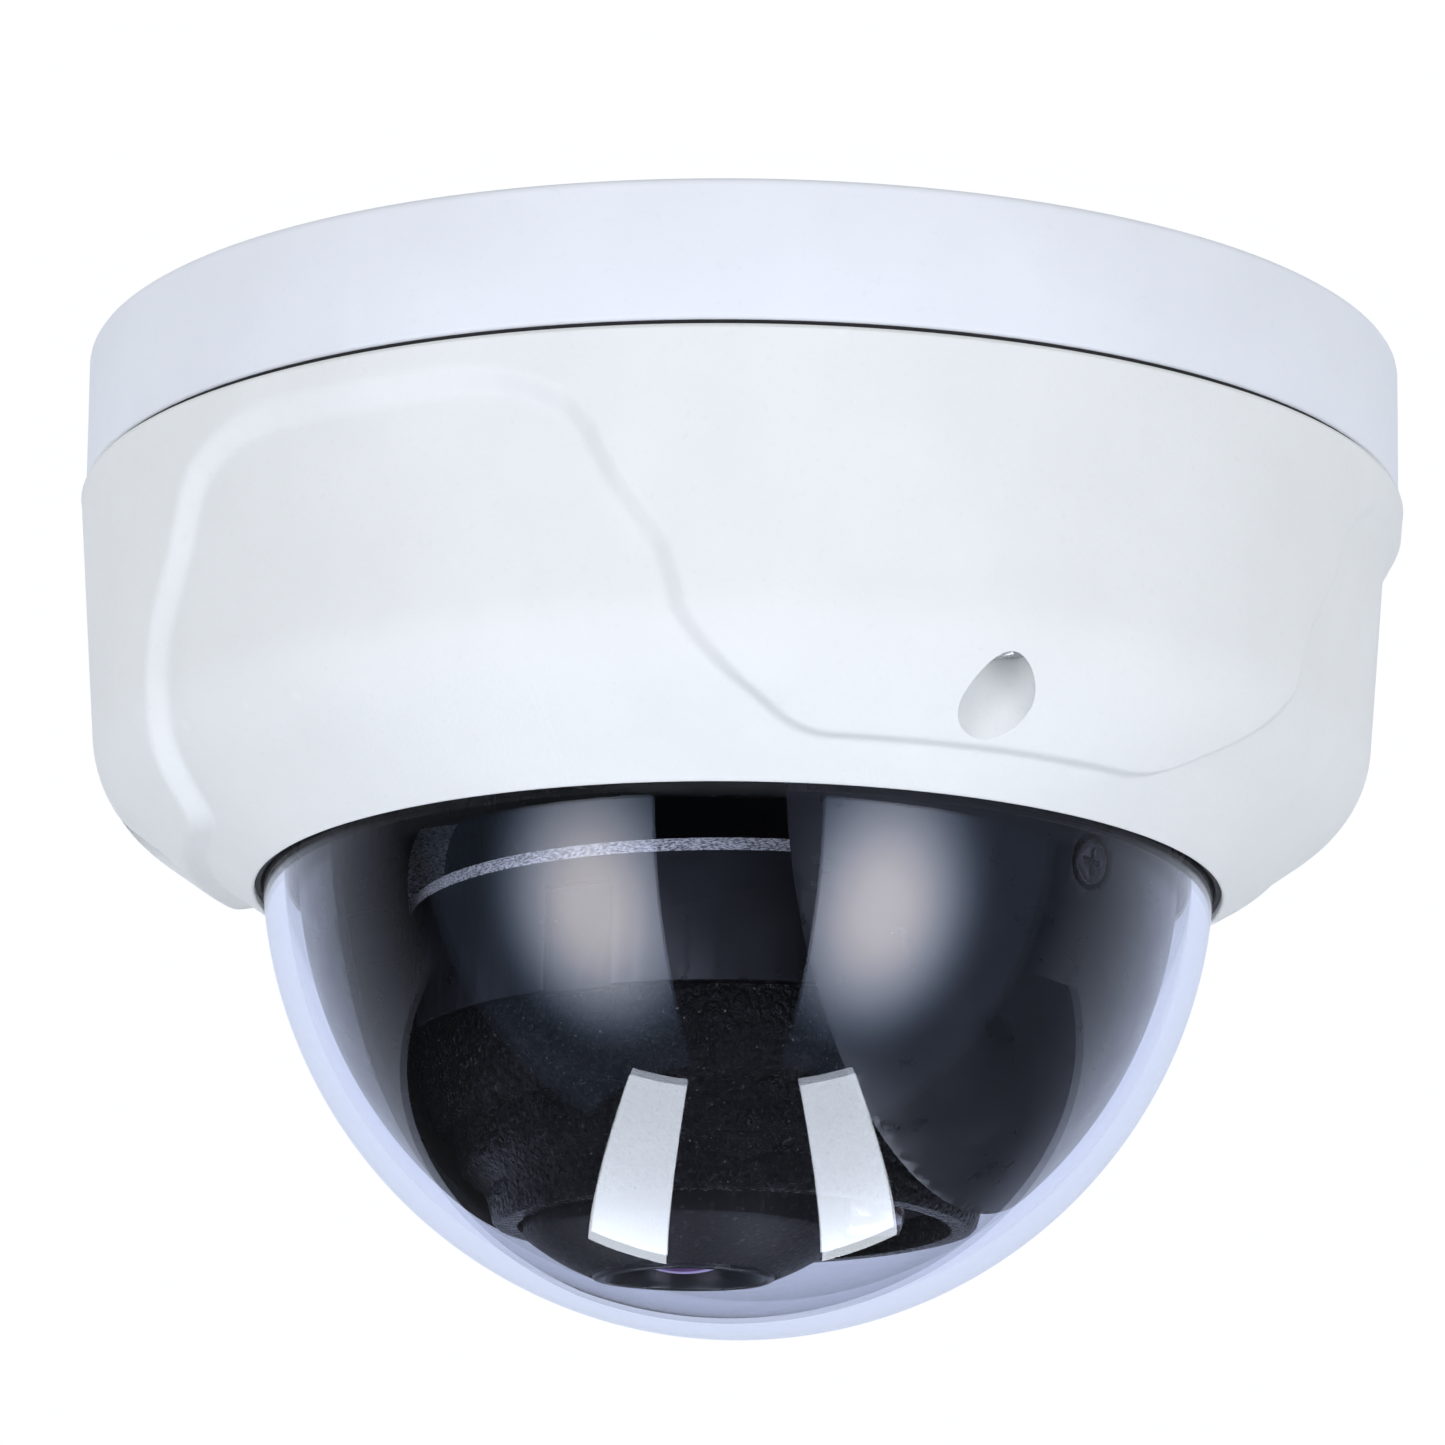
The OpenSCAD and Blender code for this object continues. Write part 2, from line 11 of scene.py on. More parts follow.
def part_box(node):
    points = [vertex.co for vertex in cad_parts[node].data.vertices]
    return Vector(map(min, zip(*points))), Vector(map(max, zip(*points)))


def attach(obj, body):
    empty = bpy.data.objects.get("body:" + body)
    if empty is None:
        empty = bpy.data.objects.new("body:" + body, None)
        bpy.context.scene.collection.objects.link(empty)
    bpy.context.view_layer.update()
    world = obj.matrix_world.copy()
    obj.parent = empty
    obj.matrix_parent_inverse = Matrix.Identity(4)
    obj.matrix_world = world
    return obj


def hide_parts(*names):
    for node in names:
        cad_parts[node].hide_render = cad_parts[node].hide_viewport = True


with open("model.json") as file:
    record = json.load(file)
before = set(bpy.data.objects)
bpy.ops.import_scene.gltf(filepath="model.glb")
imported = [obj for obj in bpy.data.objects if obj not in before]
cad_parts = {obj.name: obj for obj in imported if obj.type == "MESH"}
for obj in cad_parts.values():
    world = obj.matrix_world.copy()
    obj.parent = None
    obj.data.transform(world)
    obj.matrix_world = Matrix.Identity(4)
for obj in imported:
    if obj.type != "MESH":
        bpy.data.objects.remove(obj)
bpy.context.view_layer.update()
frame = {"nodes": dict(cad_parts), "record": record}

MM = 0.001
TURN = 256                      # sides of a large round shell


# ---- Driving sizes, in millimetres (angles in radians): some read from the CAD frame, the others given ----

def high(node, axis):
    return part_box(node)[1][axis] / MM


def low(node, axis):
    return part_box(node)[0][axis] / MM


BASE_R = high("mounting_base", 0)
SEAM_Z = high("base_gasket", 2)
COVER_TOP = low("base_gasket", 2)
COVER_R = high("cover_shell", 0)
LIP_Z = low("cover_shell", 2)
DOME_BOTTOM = low("dome_bubble", 2)
DOME_R = 39.7
DOME_WALL = 1.8
CENTRE_Z = DOME_BOTTOM + DOME_R
RIM_Z = low("camera_module", 2)
PAN_REST = math.radians(5.7)
ROLL_REST = math.radians(34)
PAN_BOTTOM = high("liner", 2)
PLATE_T = 2.5
SCREW_PCR = 50
SCREW_AZ = 57.8
MOUNT_PCR = 47.5


# ---- Mesh helpers ----

def link(name, mesh):
    obj = bpy.data.objects.new(name, mesh)
    bpy.context.scene.collection.objects.link(obj)
    return obj


def from_bmesh(name, bm):
    bmesh.ops.recalc_face_normals(bm, faces=bm.faces)
    mesh = bpy.data.meshes.new(name)
    bm.to_mesh(mesh)
    bm.free()
    return link(name, mesh)


def lathe(name, outline, sides=TURN, centre=(0, 0)):
    """Closed solid of revolution about Z. outline is a list of (r, z) in millimetres."""
    bm = bmesh.new()
    rings = []
    for r, z in outline:
        if r < 1e-6:
            rings.append([bm.verts.new((centre[0] * MM, centre[1] * MM, z * MM))])
            continue
        ring = []
        for i in range(sides):
            a = 2 * math.pi * i / sides
            ring.append(bm.verts.new(((centre[0] + r * math.sin(a)) * MM,
                                      (centre[1] - r * math.cos(a)) * MM, z * MM)))
        rings.append(ring)
    open_ends = len(rings[0]) == 1 and len(rings[-1]) == 1
    pairs = list(zip(rings, rings[1:]))
    if not open_ends:
        pairs.append((rings[-1], rings[0]))
    for a, b in pairs:
        for i in range(sides):
            j = (i + 1) % sides
            corners = [a[i % len(a)], a[j % len(a)], b[j % len(b)], b[i % len(b)]]
            unique = list(dict.fromkeys(corners))
            if len(unique) > 2:
                bm.faces.new(unique)
    return from_bmesh(name, bm)


def block(name, size, z0, z1, centre=(0, 0), turn=0.0):
    """Box between two heights, centred on x and y, turned about Z."""
    bm = bmesh.new()
    bmesh.ops.create_cube(bm, size=1)
    for v in bm.verts:
        v.co = Vector((v.co.x * size[0] * MM, v.co.y * size[1] * MM,
                       (z0 + (v.co.z + 0.5) * (z1 - z0)) * MM))
        v.co += Vector((centre[0] * MM, centre[1] * MM, 0))
    obj = from_bmesh(name, bm)
    obj.data.transform(Matrix.Rotation(turn, 4, "Z"))
    return obj


def rod(name, radius, z0, z1, centre=(0, 0), sides=64):
    bottom, top = min(z0, z1), max(z0, z1)
    return lathe(name, [(0, bottom), (radius, bottom), (radius, top), (0, top)], sides, centre)


def apply_modifiers(obj):
    depsgraph = bpy.context.evaluated_depsgraph_get()
    baked = bpy.data.meshes.new_from_object(obj.evaluated_get(depsgraph))
    obj.modifiers.clear()
    obj.data = baked


def boolean(obj, tools, operation="DIFFERENCE"):
    """Cuts or joins each tool, and removes it."""
    for tool in tools:
        step = obj.modifiers.new("cut", "BOOLEAN")
        step.operation = operation
        step.solver = "MANIFOLD"
        step.object = tool
        apply_modifiers(obj)
        bpy.data.objects.remove(tool)
    return obj


def whole_faces(obj):
    """Joins the pieces of each flat face, so that it shades evenly."""
    bm = bmesh.new()
    bm.from_mesh(obj.data)
    bmesh.ops.remove_doubles(bm, verts=bm.verts, dist=0.002 * MM)
    bmesh.ops.dissolve_limit(bm, angle_limit=math.radians(0.5), verts=bm.verts, edges=bm.edges)
    bm.to_mesh(obj.data)
    bm.free()
    return obj


def soften(obj, width=0.2, angle=35, segments=2):
    """Rounds the edges sharper than angle and shades the piece smooth."""
    if width:
        step = obj.modifiers.new("edges", "BEVEL")
        step.width = width * MM
        step.segments = segments
        step.limit_method = "ANGLE"
        step.angle_limit = math.radians(angle)
        step.harden_normals = True
        apply_modifiers(obj)
    for p in obj.data.polygons:
        p.use_smooth = True
    obj.data.set_sharp_from_angle(angle=math.radians(angle))
    return obj


def spin(obj, angle):
    obj.data.transform(Matrix.Rotation(angle, 4, "Z"))
    return obj


def arc(centre, radius, start, end, steps):
    """Points of an arc in the (r, z) plane. Angles are in degrees from +r towards +z."""
    return [(centre[0] + radius * math.cos(math.radians(start + (end - start) * i / steps)),
             centre[1] + radius * math.sin(math.radians(start + (end - start) * i / steps)))
            for i in range(steps + 1)]


def at_azimuth(az, r):
    """(x, y) of a point at azimuth az degrees, counted from -Y anticlockwise from above."""
    return r * math.sin(math.radians(az)), -r * math.cos(math.radians(az))


def merged(parts):
    """One object from several that do not touch, such as a ring of cutters."""
    bm = bmesh.new()
    for part in parts:
        bm.from_mesh(part.data)
    for part in parts[1:]:
        bpy.data.objects.remove(part)
    bm.to_mesh(parts[0].data)
    bm.free()
    return parts[0]


def tip(obj, where, azimuth, drop):
    """Points a piece made along Z from the origin at an azimuth, drop degrees below level."""
    turn = Matrix.Rotation(azimuth, 4, "Z") @ Matrix.Rotation(math.radians(90 + drop), 4, "X")
    obj.data.transform(Matrix.Translation(Vector(where) * MM) @ turn)
    return obj


def mirrored(obj, name):
    """A copy on the other side of the plane x = 0."""
    bm = bmesh.new()
    bm.from_mesh(obj.data)
    bmesh.ops.scale(bm, vec=(-1, 1, 1), verts=bm.verts)
    return from_bmesh(name, bm)


BODY = {node: body for body, nodes in frame["record"]["behaviour"]["bodies"].items()
        for node in nodes}
SLOT = {part["node"]: part["material_slot"] for part in frame["record"]["subparts"]}


def refined(node, width=0.15, angle=35):
    """A copy of a CAD node with its flat faces made whole and its edges rounded."""
    bm = bmesh.new()
    bm.from_mesh(frame["nodes"][node].data)
    bmesh.ops.remove_doubles(bm, verts=bm.verts, dist=0.002 * MM)
    bmesh.ops.dissolve_limit(bm, angle_limit=math.radians(1), verts=bm.verts, edges=bm.edges)
    return soften(from_bmesh(node + "_look", bm), width, angle)


# ---- Material helpers: every texture is in metres on the piece itself ----

class Nodes:
    """A material's node tree with short calls for the few node kinds used here."""

    def __init__(self, name):
        self.mat = bpy.data.materials.new(name)
        self.mat.use_nodes = True
        self.tree = self.mat.node_tree
        self.shader = self.tree.nodes["Principled BSDF"]
        self.output = self.tree.nodes["Material Output"]
        self.where = self.add("ShaderNodeTexCoord").outputs["Object"]

    def add(self, kind, **settings):
        node = self.tree.nodes.new(kind)
        for key, value in settings.items():
            setattr(node, key, value)
        return node

    def join(self, source, target):
        self.tree.links.new(source, target)

    def stretched(self, scale):
        mapping = self.add("ShaderNodeMapping")
        mapping.inputs["Scale"].default_value = scale
        self.join(self.where, mapping.inputs["Vector"])
        return mapping.outputs[0]

    def noise(self, size_mm, detail=4, roughness=0.55, where=None):
        """Noise whose features are about size_mm across."""
        node = self.add("ShaderNodeTexNoise")
        node.inputs["Scale"].default_value = 1 / (size_mm * MM)
        node.inputs["Detail"].default_value = detail
        node.inputs["Roughness"].default_value = roughness
        self.join(where or self.where, node.inputs["Vector"])
        return node.outputs["Fac"]

    def cells(self, size_mm, feature="F1", output="Distance", randomness=1.0, where=None):
        node = self.add("ShaderNodeTexVoronoi", feature=feature)
        node.inputs["Scale"].default_value = 1 / (size_mm * MM)
        node.inputs["Randomness"].default_value = randomness
        self.join(where or self.where, node.inputs["Vector"])
        return node.outputs[output]

    def spread(self, source, low_in, high_in, low_out, high_out):
        """Maps a range of source to a range of values."""
        node = self.add("ShaderNodeMapRange")
        for key, value in (("From Min", low_in), ("From Max", high_in),
                           ("To Min", low_out), ("To Max", high_out)):
            node.inputs[key].default_value = value
        self.join(source, node.inputs["Value"])
        return node.outputs["Result"]

    def mix(self, factor, a, b):
        """Colour a where factor is 0 and colour b where it is 1."""
        node = self.add("ShaderNodeMix", data_type="RGBA")
        if isinstance(factor, float):
            node.inputs[0].default_value = factor
        else:
            self.join(factor, node.inputs[0])
        for socket, colour in ((node.inputs[6], a), (node.inputs[7], b)):
            if isinstance(colour, tuple):
                socket.default_value = (*colour, 1)
            else:
                self.join(colour, socket)
        return node.outputs[2]

    def bump(self, height, depth_mm, strength=1.0, below=None):
        node = self.add("ShaderNodeBump")
        node.inputs["Distance"].default_value = depth_mm * MM
        node.inputs["Strength"].default_value = strength
        self.join(height, node.inputs["Height"])
        if below is not None:
            self.join(below, node.inputs["Normal"])
        return node.outputs[0]

    def math(self, operation, a, b):
        node = self.add("ShaderNodeMath", operation=operation)
        for socket, value in zip(node.inputs, (a, b)):
            if isinstance(value, (int, float)):
                socket.default_value = value
            else:
                self.join(value, socket)
        return node.outputs[0]

    def edges(self, low_in=0.52, high_in=0.6):
        """1 on worn outer edges, 0 elsewhere."""
        return self.spread(self.add("ShaderNodeNewGeometry").outputs["Pointiness"],
                           low_in, high_in, 0, 1)

    def finish(self, colour=None, roughness=None, normal=None, **fixed):
        for key, source in (("Base Color", colour), ("Roughness", roughness), ("Normal", normal)):
            if source is None:
                continue
            if isinstance(source, float):
                self.shader.inputs[key].default_value = source
            elif isinstance(source, tuple):
                self.shader.inputs[key].default_value = (*source, 1)
            else:
                self.join(source, self.shader.inputs[key])
        for key, value in fixed.items():
            self.shader.inputs[key.replace("_", " ")].default_value = value
        return self.mat


def painted(name, colour, grain_mm, grain_depth, roughness):
    """Powder-coated casting: a fine orange peel, faint mottling and rubbed edges."""
    n = Nodes(name)
    cloud = n.noise(14, 3)
    dust = n.noise(grain_mm * 1.6, 2, 0.6)
    tone = n.mix(n.spread(cloud, 0.35, 0.65, 0, 1), colour, tuple(0.965 * c for c in colour))
    tone = n.mix(n.spread(dust, 0.62, 0.74, 0, 0.35), tone, tuple(0.90 * c for c in colour))
    tone = n.mix(n.math("MULTIPLY", n.edges(0.53, 0.66), 0.35), tone,
                 tuple(min(1, 1.06 * c) for c in colour))
    peel = n.bump(n.noise(grain_mm * 3.2, 2), grain_depth * 0.8, 0.5)
    grain = n.bump(n.noise(grain_mm, 3, 0.6), grain_depth, 0.8, below=peel)
    rough = n.spread(n.noise(grain_mm * 5, 3), 0.3, 0.7, roughness - 0.05, roughness + 0.06)
    return n.finish(tone, rough, grain, IOR=1.42)


def moulded(name, colour, grain_mm, grain_depth, roughness, scuffs=0.25):
    """Moulded plastic: fine spark-eroded grain, flow clouds and a few pale scuffs."""
    n = Nodes(name)
    tone = n.mix(n.spread(n.noise(9, 3), 0.3, 0.7, 0, 1), colour, tuple(1.35 * c for c in colour))
    scratch = n.noise(1.4, 5, 0.7, where=n.stretched((1, 1, 9)))
    tone = n.mix(n.spread(scratch, 0.69, 0.78, 0, scuffs), tone, (0.32, 0.33, 0.34))
    grain = n.bump(n.noise(grain_mm, 3), grain_depth, 0.7)
    rough = n.spread(n.noise(4, 4), 0.3, 0.7, roughness - 0.07, roughness + 0.07)
    return n.finish(tone, rough, grain, IOR=1.36)


def leather_grain(name, colour, cell_mm, depth_mm, roughness):
    """Coarse moulded leather grain: rounded pebbles with creases between them, which are darkened with
    painted shade.
    """
    n = Nodes(name)
    bent = n.add("ShaderNodeVectorMath", operation="ADD")
    warp = n.add("ShaderNodeTexNoise")
    warp.inputs["Scale"].default_value = 1 / (cell_mm * 1.5 * MM)
    n.join(n.where, warp.inputs["Vector"])
    shift = n.add("ShaderNodeVectorMath", operation="SCALE")
    shift.inputs["Scale"].default_value = cell_mm * 1.1 * MM
    n.join(warp.outputs["Color"], shift.inputs[0])
    n.join(n.where, bent.inputs[0])
    n.join(shift.outputs[0], bent.inputs[1])
    pebble = n.cells(cell_mm, where=bent.outputs[0])
    small = n.cells(cell_mm * 0.45, where=bent.outputs[0])
    height = n.math("ADD", n.spread(pebble, 0, 0.7, 1, 0), n.spread(small, 0, 0.8, 0.35, 0))
    shade_in_creases = n.spread(height, 0.1, 0.9, 0, 1)
    # Painted shade: the colour falls to 0.6 of itself in the creases between the pebbles.
    tone = n.mix(shade_in_creases, tuple(0.6 * c for c in colour), colour)
    tone = n.mix(n.spread(n.noise(0.3, 2), 0.70, 0.76, 0, 0.5), tone, (0.35, 0.34, 0.30))
    grain = n.bump(height, depth_mm, 0.9)
    rough = n.spread(height, 0.1, 1.1, roughness + 0.12, roughness - 0.06)
    return n.finish(tone, rough, grain, IOR=1.19)


def speckled(name, colour, roughness):
    """Matte plastic of the lens face with smoother flecks, the brightest of them painted into its colour
    as glints.
    """
    n = Nodes(name)
    fleck = n.spread(n.cells(0.28, output="Color"), 0.0, 1.0, 0, 1)
    hot = n.spread(fleck, 0.78, 0.96, 0, 1)
    # Painted glints: the brightest flecks get 3.6 times the base colour.
    tone = n.mix(hot, colour, tuple(3.6 * c for c in colour))
    grain = n.bump(n.noise(0.22, 2, 0.6), 0.05, 0.9)
    rough = n.spread(fleck, 0, 1, roughness + 0.08, roughness - 0.12)
    return n.finish(tone, rough, grain, IOR=1.22)


def machined(name, colour, line_mm, roughness, metallic=1.0, tarnish=0.5):
    """Bare metal with drawn lines, light tarnish and brighter edges."""
    n = Nodes(name)
    lines = n.noise(line_mm, 4, 0.6, where=n.stretched((1, 1, 0.12)))
    stain = n.noise(3.5, 4)
    tone = n.mix(n.spread(stain, 0.45, 0.7, 0, tarnish), colour, tuple(0.62 * c for c in colour))
    tone = n.mix(n.math("MULTIPLY", n.edges(), 0.6), tone, tuple(min(1, 1.25 * c) for c in colour))
    bump = n.bump(lines, 0.02, 0.6)
    rough = n.spread(lines, 0.3, 0.7, roughness - 0.08, roughness + 0.12)
    return n.finish(tone, rough, bump, Metallic=metallic)


def rubber(name, colour):
    n = Nodes(name)
    bloom = n.spread(n.noise(1.2, 4), 0.5, 0.75, 0, 0.35)
    tone = n.mix(bloom, colour, tuple(2.4 * c for c in colour))
    bump = n.bump(n.noise(0.15, 3), 0.03, 0.8)
    rough = n.spread(n.noise(0.8, 3), 0.3, 0.7, 0.62, 0.82)
    return n.finish(tone, rough, bump, IOR=1.5)


def board(name):
    """Solder mask over copper: tracks on a square grid, vias and a woven glass weave below."""
    n = Nodes(name)
    brick = n.add("ShaderNodeTexBrick", offset=0.35, offset_frequency=3)
    brick.inputs["Scale"].default_value = 1 / (5.5 * MM)
    brick.inputs["Mortar Size"].default_value = 0.07
    brick.inputs["Mortar Smooth"].default_value = 0.0
    brick.inputs["Brick Width"].default_value = 0.9
    brick.inputs["Row Height"].default_value = 0.22
    n.join(n.where, brick.inputs["Vector"])
    track = brick.outputs["Fac"]
    via = n.spread(n.cells(2.6), 0.10, 0.14, 1, 0)
    mask = n.mix(n.spread(n.noise(6, 3), 0.3, 0.7, 0, 1), (0.006, 0.085, 0.035), (0.010, 0.120, 0.048))
    tone = n.mix(track, mask, (0.022, 0.20, 0.075))
    tone = n.mix(via, tone, (0.62, 0.52, 0.30))
    height = n.math("ADD", track, n.math("MULTIPLY", n.noise(0.4, 2), 0.25))
    bump = n.bump(height, 0.035, 0.7)
    rough = n.spread(n.noise(1.5, 3), 0.3, 0.7, 0.28, 0.42)
    return n.finish(tone, rough, bump, IOR=1.55)


def chip(name, colour):
    """Epoxy-moulded component bodies and cards."""
    n = Nodes(name)
    tone = n.mix(n.spread(n.noise(0.5, 3), 0.4, 0.7, 0, 1), colour, tuple(1.6 * c for c in colour))
    bump = n.bump(n.noise(0.12, 2), 0.015, 0.7)
    rough = n.spread(n.noise(2, 3), 0.3, 0.7, 0.42, 0.6)
    return n.finish(tone, rough, bump, IOR=1.5)


def clear(name, tint, ior, roughness, shadow_tint, smudge=0.0):
    """Clear moulding or lens: lamps shine through it, and it mirrors at grazing angles."""
    n = Nodes(name)
    haze = n.spread(n.noise(6, 4), 0.45, 0.8, roughness, roughness + smudge)
    bump = n.bump(n.noise(12, 2), 0.004, 0.15)
    n.finish(tint, haze if smudge else roughness, bump, IOR=ior, Transmission_Weight=1.0)
    through = n.add("ShaderNodeBsdfTransparent")
    through.inputs["Color"].default_value = (*shadow_tint, 1)
    lamp = n.add("ShaderNodeLightPath").outputs["Is Shadow Ray"]
    choice = n.add("ShaderNodeMixShader")
    n.join(lamp, choice.inputs[0])
    n.join(n.shader.outputs[0], choice.inputs[1])
    n.join(through.outputs[0], choice.inputs[2])
    n.join(choice.outputs[0], n.output.inputs["Surface"])
    return n.mat


def coated_lens(name):
    """Front element: dark glass with a purple antireflection coating, whose purple reflection is also
    painted into its colour, growing towards grazing angles.
    """
    n = Nodes(name)
    sheen = n.add("ShaderNodeLayerWeight")
    sheen.inputs["Blend"].default_value = 0.35
    # Painted reflection: the colour turns from near black, facing the view, to lighter purple at grazing
    # angles.
    tone = n.mix(sheen.outputs["Facing"], (0.06, 0.035, 0.075), (0.30, 0.19, 0.34))
    tone = n.mix(n.spread(n.noise(2.5, 3), 0.4, 0.7, 0, 0.5), tone, (0.03, 0.02, 0.05))
    rough = n.spread(n.noise(1.5, 3), 0.3, 0.8, 0.02, 0.06)
    return n.finish(tone, rough, None, IOR=1.7, Coat_Weight=1.0, Coat_Roughness=0.02,
                    Coat_Tint=(0.78, 0.62, 0.95, 1))


def diffuser(name):
    """Dark red infrared window with a moulded pattern of small prisms, painted darker in their troughs and
    lighter on their ridges as shade and light.
    """
    n = Nodes(name)
    wave = n.add("ShaderNodeTexWave", wave_type="BANDS", bands_direction="DIAGONAL")
    wave.inputs["Scale"].default_value = 1 / (4.2 * MM)
    wave.inputs["Distortion"].default_value = 0.0
    n.join(n.where, wave.inputs["Vector"])
    prism = wave.outputs["Fac"]
    # Painted shade and light: the colour is darker in the prisms' troughs and lighter on their ridges.
    tone = n.mix(prism, (0.012, 0.006, 0.008), (0.05, 0.03, 0.035))
    bump = n.bump(prism, 0.06, 0.8)
    rough = n.spread(n.noise(0.8, 3), 0.3, 0.7, 0.12, 0.22)
    return n.finish(tone, rough, bump, IOR=1.55, Coat_Weight=0.5, Coat_Roughness=0.08)


def scratched_highlight_edge(name):
    """Outer edge of a black moulding painted light grey as a highlight, broken up by long scratches."""
    n = Nodes(name)
    scratch = n.noise(0.35, 5, 0.7, where=n.stretched((1, 1, 3)))
    # Painted highlight: where the scratch noise is high, the black turns light grey.
    tone = n.mix(n.spread(scratch, 0.40, 0.58, 0, 1), (0.05, 0.05, 0.055), (0.62, 0.63, 0.65))
    bump = n.bump(scratch, 0.08, 0.9)
    return n.finish(tone, n.spread(scratch, 0.3, 0.7, 0.30, 0.55), bump, IOR=1.5)


MATERIALS = {
    "base_paint": painted("base_paint", (0.724, 0.748, 0.772), 0.5, 0.010, 0.50),
    "cover_paint": painted("cover_paint", (0.722, 0.738, 0.718), 0.42, 0.045, 0.58),
    "clear_dome": clear("clear_dome", (0.892, 0.908, 0.985), 1.50, 0.0, (0.93, 0.94, 0.96), 0.02),
    "seal_rubber": rubber("seal_rubber", (0.012, 0.012, 0.013)),
    "steel": machined("steel", (0.66, 0.66, 0.68), 0.25, 0.28),
    "black_steel": machined("black_steel", (0.045, 0.045, 0.050), 0.2, 0.30, metallic=0.8),
    "black_satin": moulded("black_satin", (0.0055, 0.0062, 0.0078), 0.20, 0.008, 0.32),
    "black_grain": leather_grain("black_grain", (0.0035, 0.0038, 0.0046), 0.60, 0.40, 0.16),
    "black_speckle": speckled("black_speckle", (0.0075, 0.0075, 0.0085), 0.46),
    "chassis_metal": machined("chassis_metal", (0.60, 0.61, 0.64), 0.4, 0.38),
    "cooler_metal": machined("cooler_metal", (0.42, 0.43, 0.46), 0.3, 0.45, tarnish=0.3),
    "brass": machined("brass", (0.70, 0.52, 0.22), 0.2, 0.30),
    "circuit_board": board("circuit_board"),
    "white_plastic": moulded("white_plastic", (0.62, 0.60, 0.52), 0.2, 0.01, 0.42, scuffs=0.05),
    "chip_black": chip("chip_black", (0.015, 0.015, 0.016)),
    "capacitor_can": machined("capacitor_can", (0.55, 0.56, 0.60), 0.2, 0.25, tarnish=0.2),
    "lens_coated_glass": coated_lens("lens_coated_glass"),
    "window_plastic": diffuser("window_plastic"),
    "led_resin": clear("led_resin", (0.90, 0.88, 0.62), 1.5, 0.08, (0.85, 0.8, 0.5)),
    "sensor_glass": coated_lens("sensor_glass"),
}


def dress(obj, node, stands_for=True, slot=None):
    """Gives a new piece the body and finish of a CAD node, and hides that node."""
    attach(obj, BODY[node])
    if stands_for:
        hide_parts(node)
    obj.data.materials.clear()
    obj.data.materials.append(MATERIALS[slot or SLOT[node]])
    return obj


# ---- Base: a round casting with a flat ceiling face ----

base = lathe("mounting_base_look", [
    (9, 0), *arc((BASE_R - 0.7, -0.7), 0.7, 90, 0, 4),
    *arc((BASE_R - 0.35, SEAM_Z + 0.35), 0.35, 0, -90, 3),
    (BASE_R - 2.4, SEAM_Z), (BASE_R - 2.6, SEAM_Z + 0.2),
    *arc((BASE_R - 3.6, -PLATE_T - 1), 1, 0, 90, 4), (9, -PLATE_T)])
bosses = [rod("boss", 3.5, -1, COVER_TOP - 0.8, at_azimuth(SCREW_AZ + 120 * i, SCREW_PCR))
          for i in range(3)]
holes = [lathe("hole", [(0, 1), (2.25, 1), (2.25, -PLATE_T - 1), (0, -PLATE_T - 1)], 64,
               at_azimuth(120 * i, MOUNT_PCR)) for i in range(3)]
holes += [rod("thread", 1.5, -1.2, COVER_TOP - 2, at_azimuth(SCREW_AZ + 120 * i, SCREW_PCR))
          for i in range(3)]
boolean(base, [merged(bosses)], "UNION")
boolean(base, [merged(holes)])
dress(soften(whole_faces(base), 0.18, 40), "mounting_base")


# ---- Cover: a casting with three recessed panels between raised tongues ----

CORNER = (COVER_R - 1.85, COVER_TOP - 25.4)
SHOULDER_R = 9.6
CHAMFER = math.radians(35.7)
PANEL_DEPTH = 1.3
COVER_WALL = 2.2
SEAT_R, SEAT_Z = 43.3, CENTRE_Z + 0.2
LIP_R = DOME_R + 0.6
RELIEF_END = CENTRE_Z - 0.3
STEP_WIDTH = 2.2                # width of the soft step between panel and tongue
MM_PER_DEGREE = 0.96            # along the cover's side

# Half outline of a panel: degrees from its middle and height
PANEL_EDGE = [(0, -15.5), (10, -15.5), (13.5, -15.9), (16.5, -16.8), (19.4, -18.2), (21, -20),
              (23, -24), (25.3, -27), (27.2, -29.5), (28.2, -32.5), (28.7, -34.6), (29.7, -36),
              (30.6, -37), (33, -39), (38, -41.7), (43, -43.6), (43, -47), (0, -47)]


def cover_line(inset, sides=(52, 24, 40)):
    """Points of the cover's outline moved inwards by inset, from its top down to the lip.
    sides is how many steps the side, the shoulder and the chamfer have."""
    top = np.array((COVER_R - inset, COVER_TOP))
    corner = np.array((CORNER[0] - inset,
                       CORNER[1] + inset * (1 - math.sin(CHAMFER)) / math.cos(CHAMFER)))
    along = -np.array((math.cos(CHAMFER), math.sin(CHAMFER)))
    up = (top - corner) / np.linalg.norm(top - corner)
    radius = SHOULDER_R - inset
    half = math.acos(up @ along) / 2
    bisector = (up + along) / np.linalg.norm(up + along)
    middle = corner + bisector * radius / math.sin(half)
    first, last = corner + up * radius / math.tan(half), corner + along * radius / math.tan(half)
    end = last + along * (last[1] - LIP_Z) / math.sin(CHAMFER)
    a0, a1 = (math.atan2(*(p - middle)[::-1]) for p in (first, last))
    side = [top + (first - top) * i / sides[0] for i in range(sides[0])]
    bend = [middle + radius * np.array((math.cos(a0 + (a1 - a0) * i / sides[1]),
                                        math.sin(a0 + (a1 - a0) * i / sides[1])))
            for i in range(sides[1])]
    slope = [last + (end - last) * i / sides[2] for i in range(sides[2] + 1)]
    return np.array(side + bend + slope)


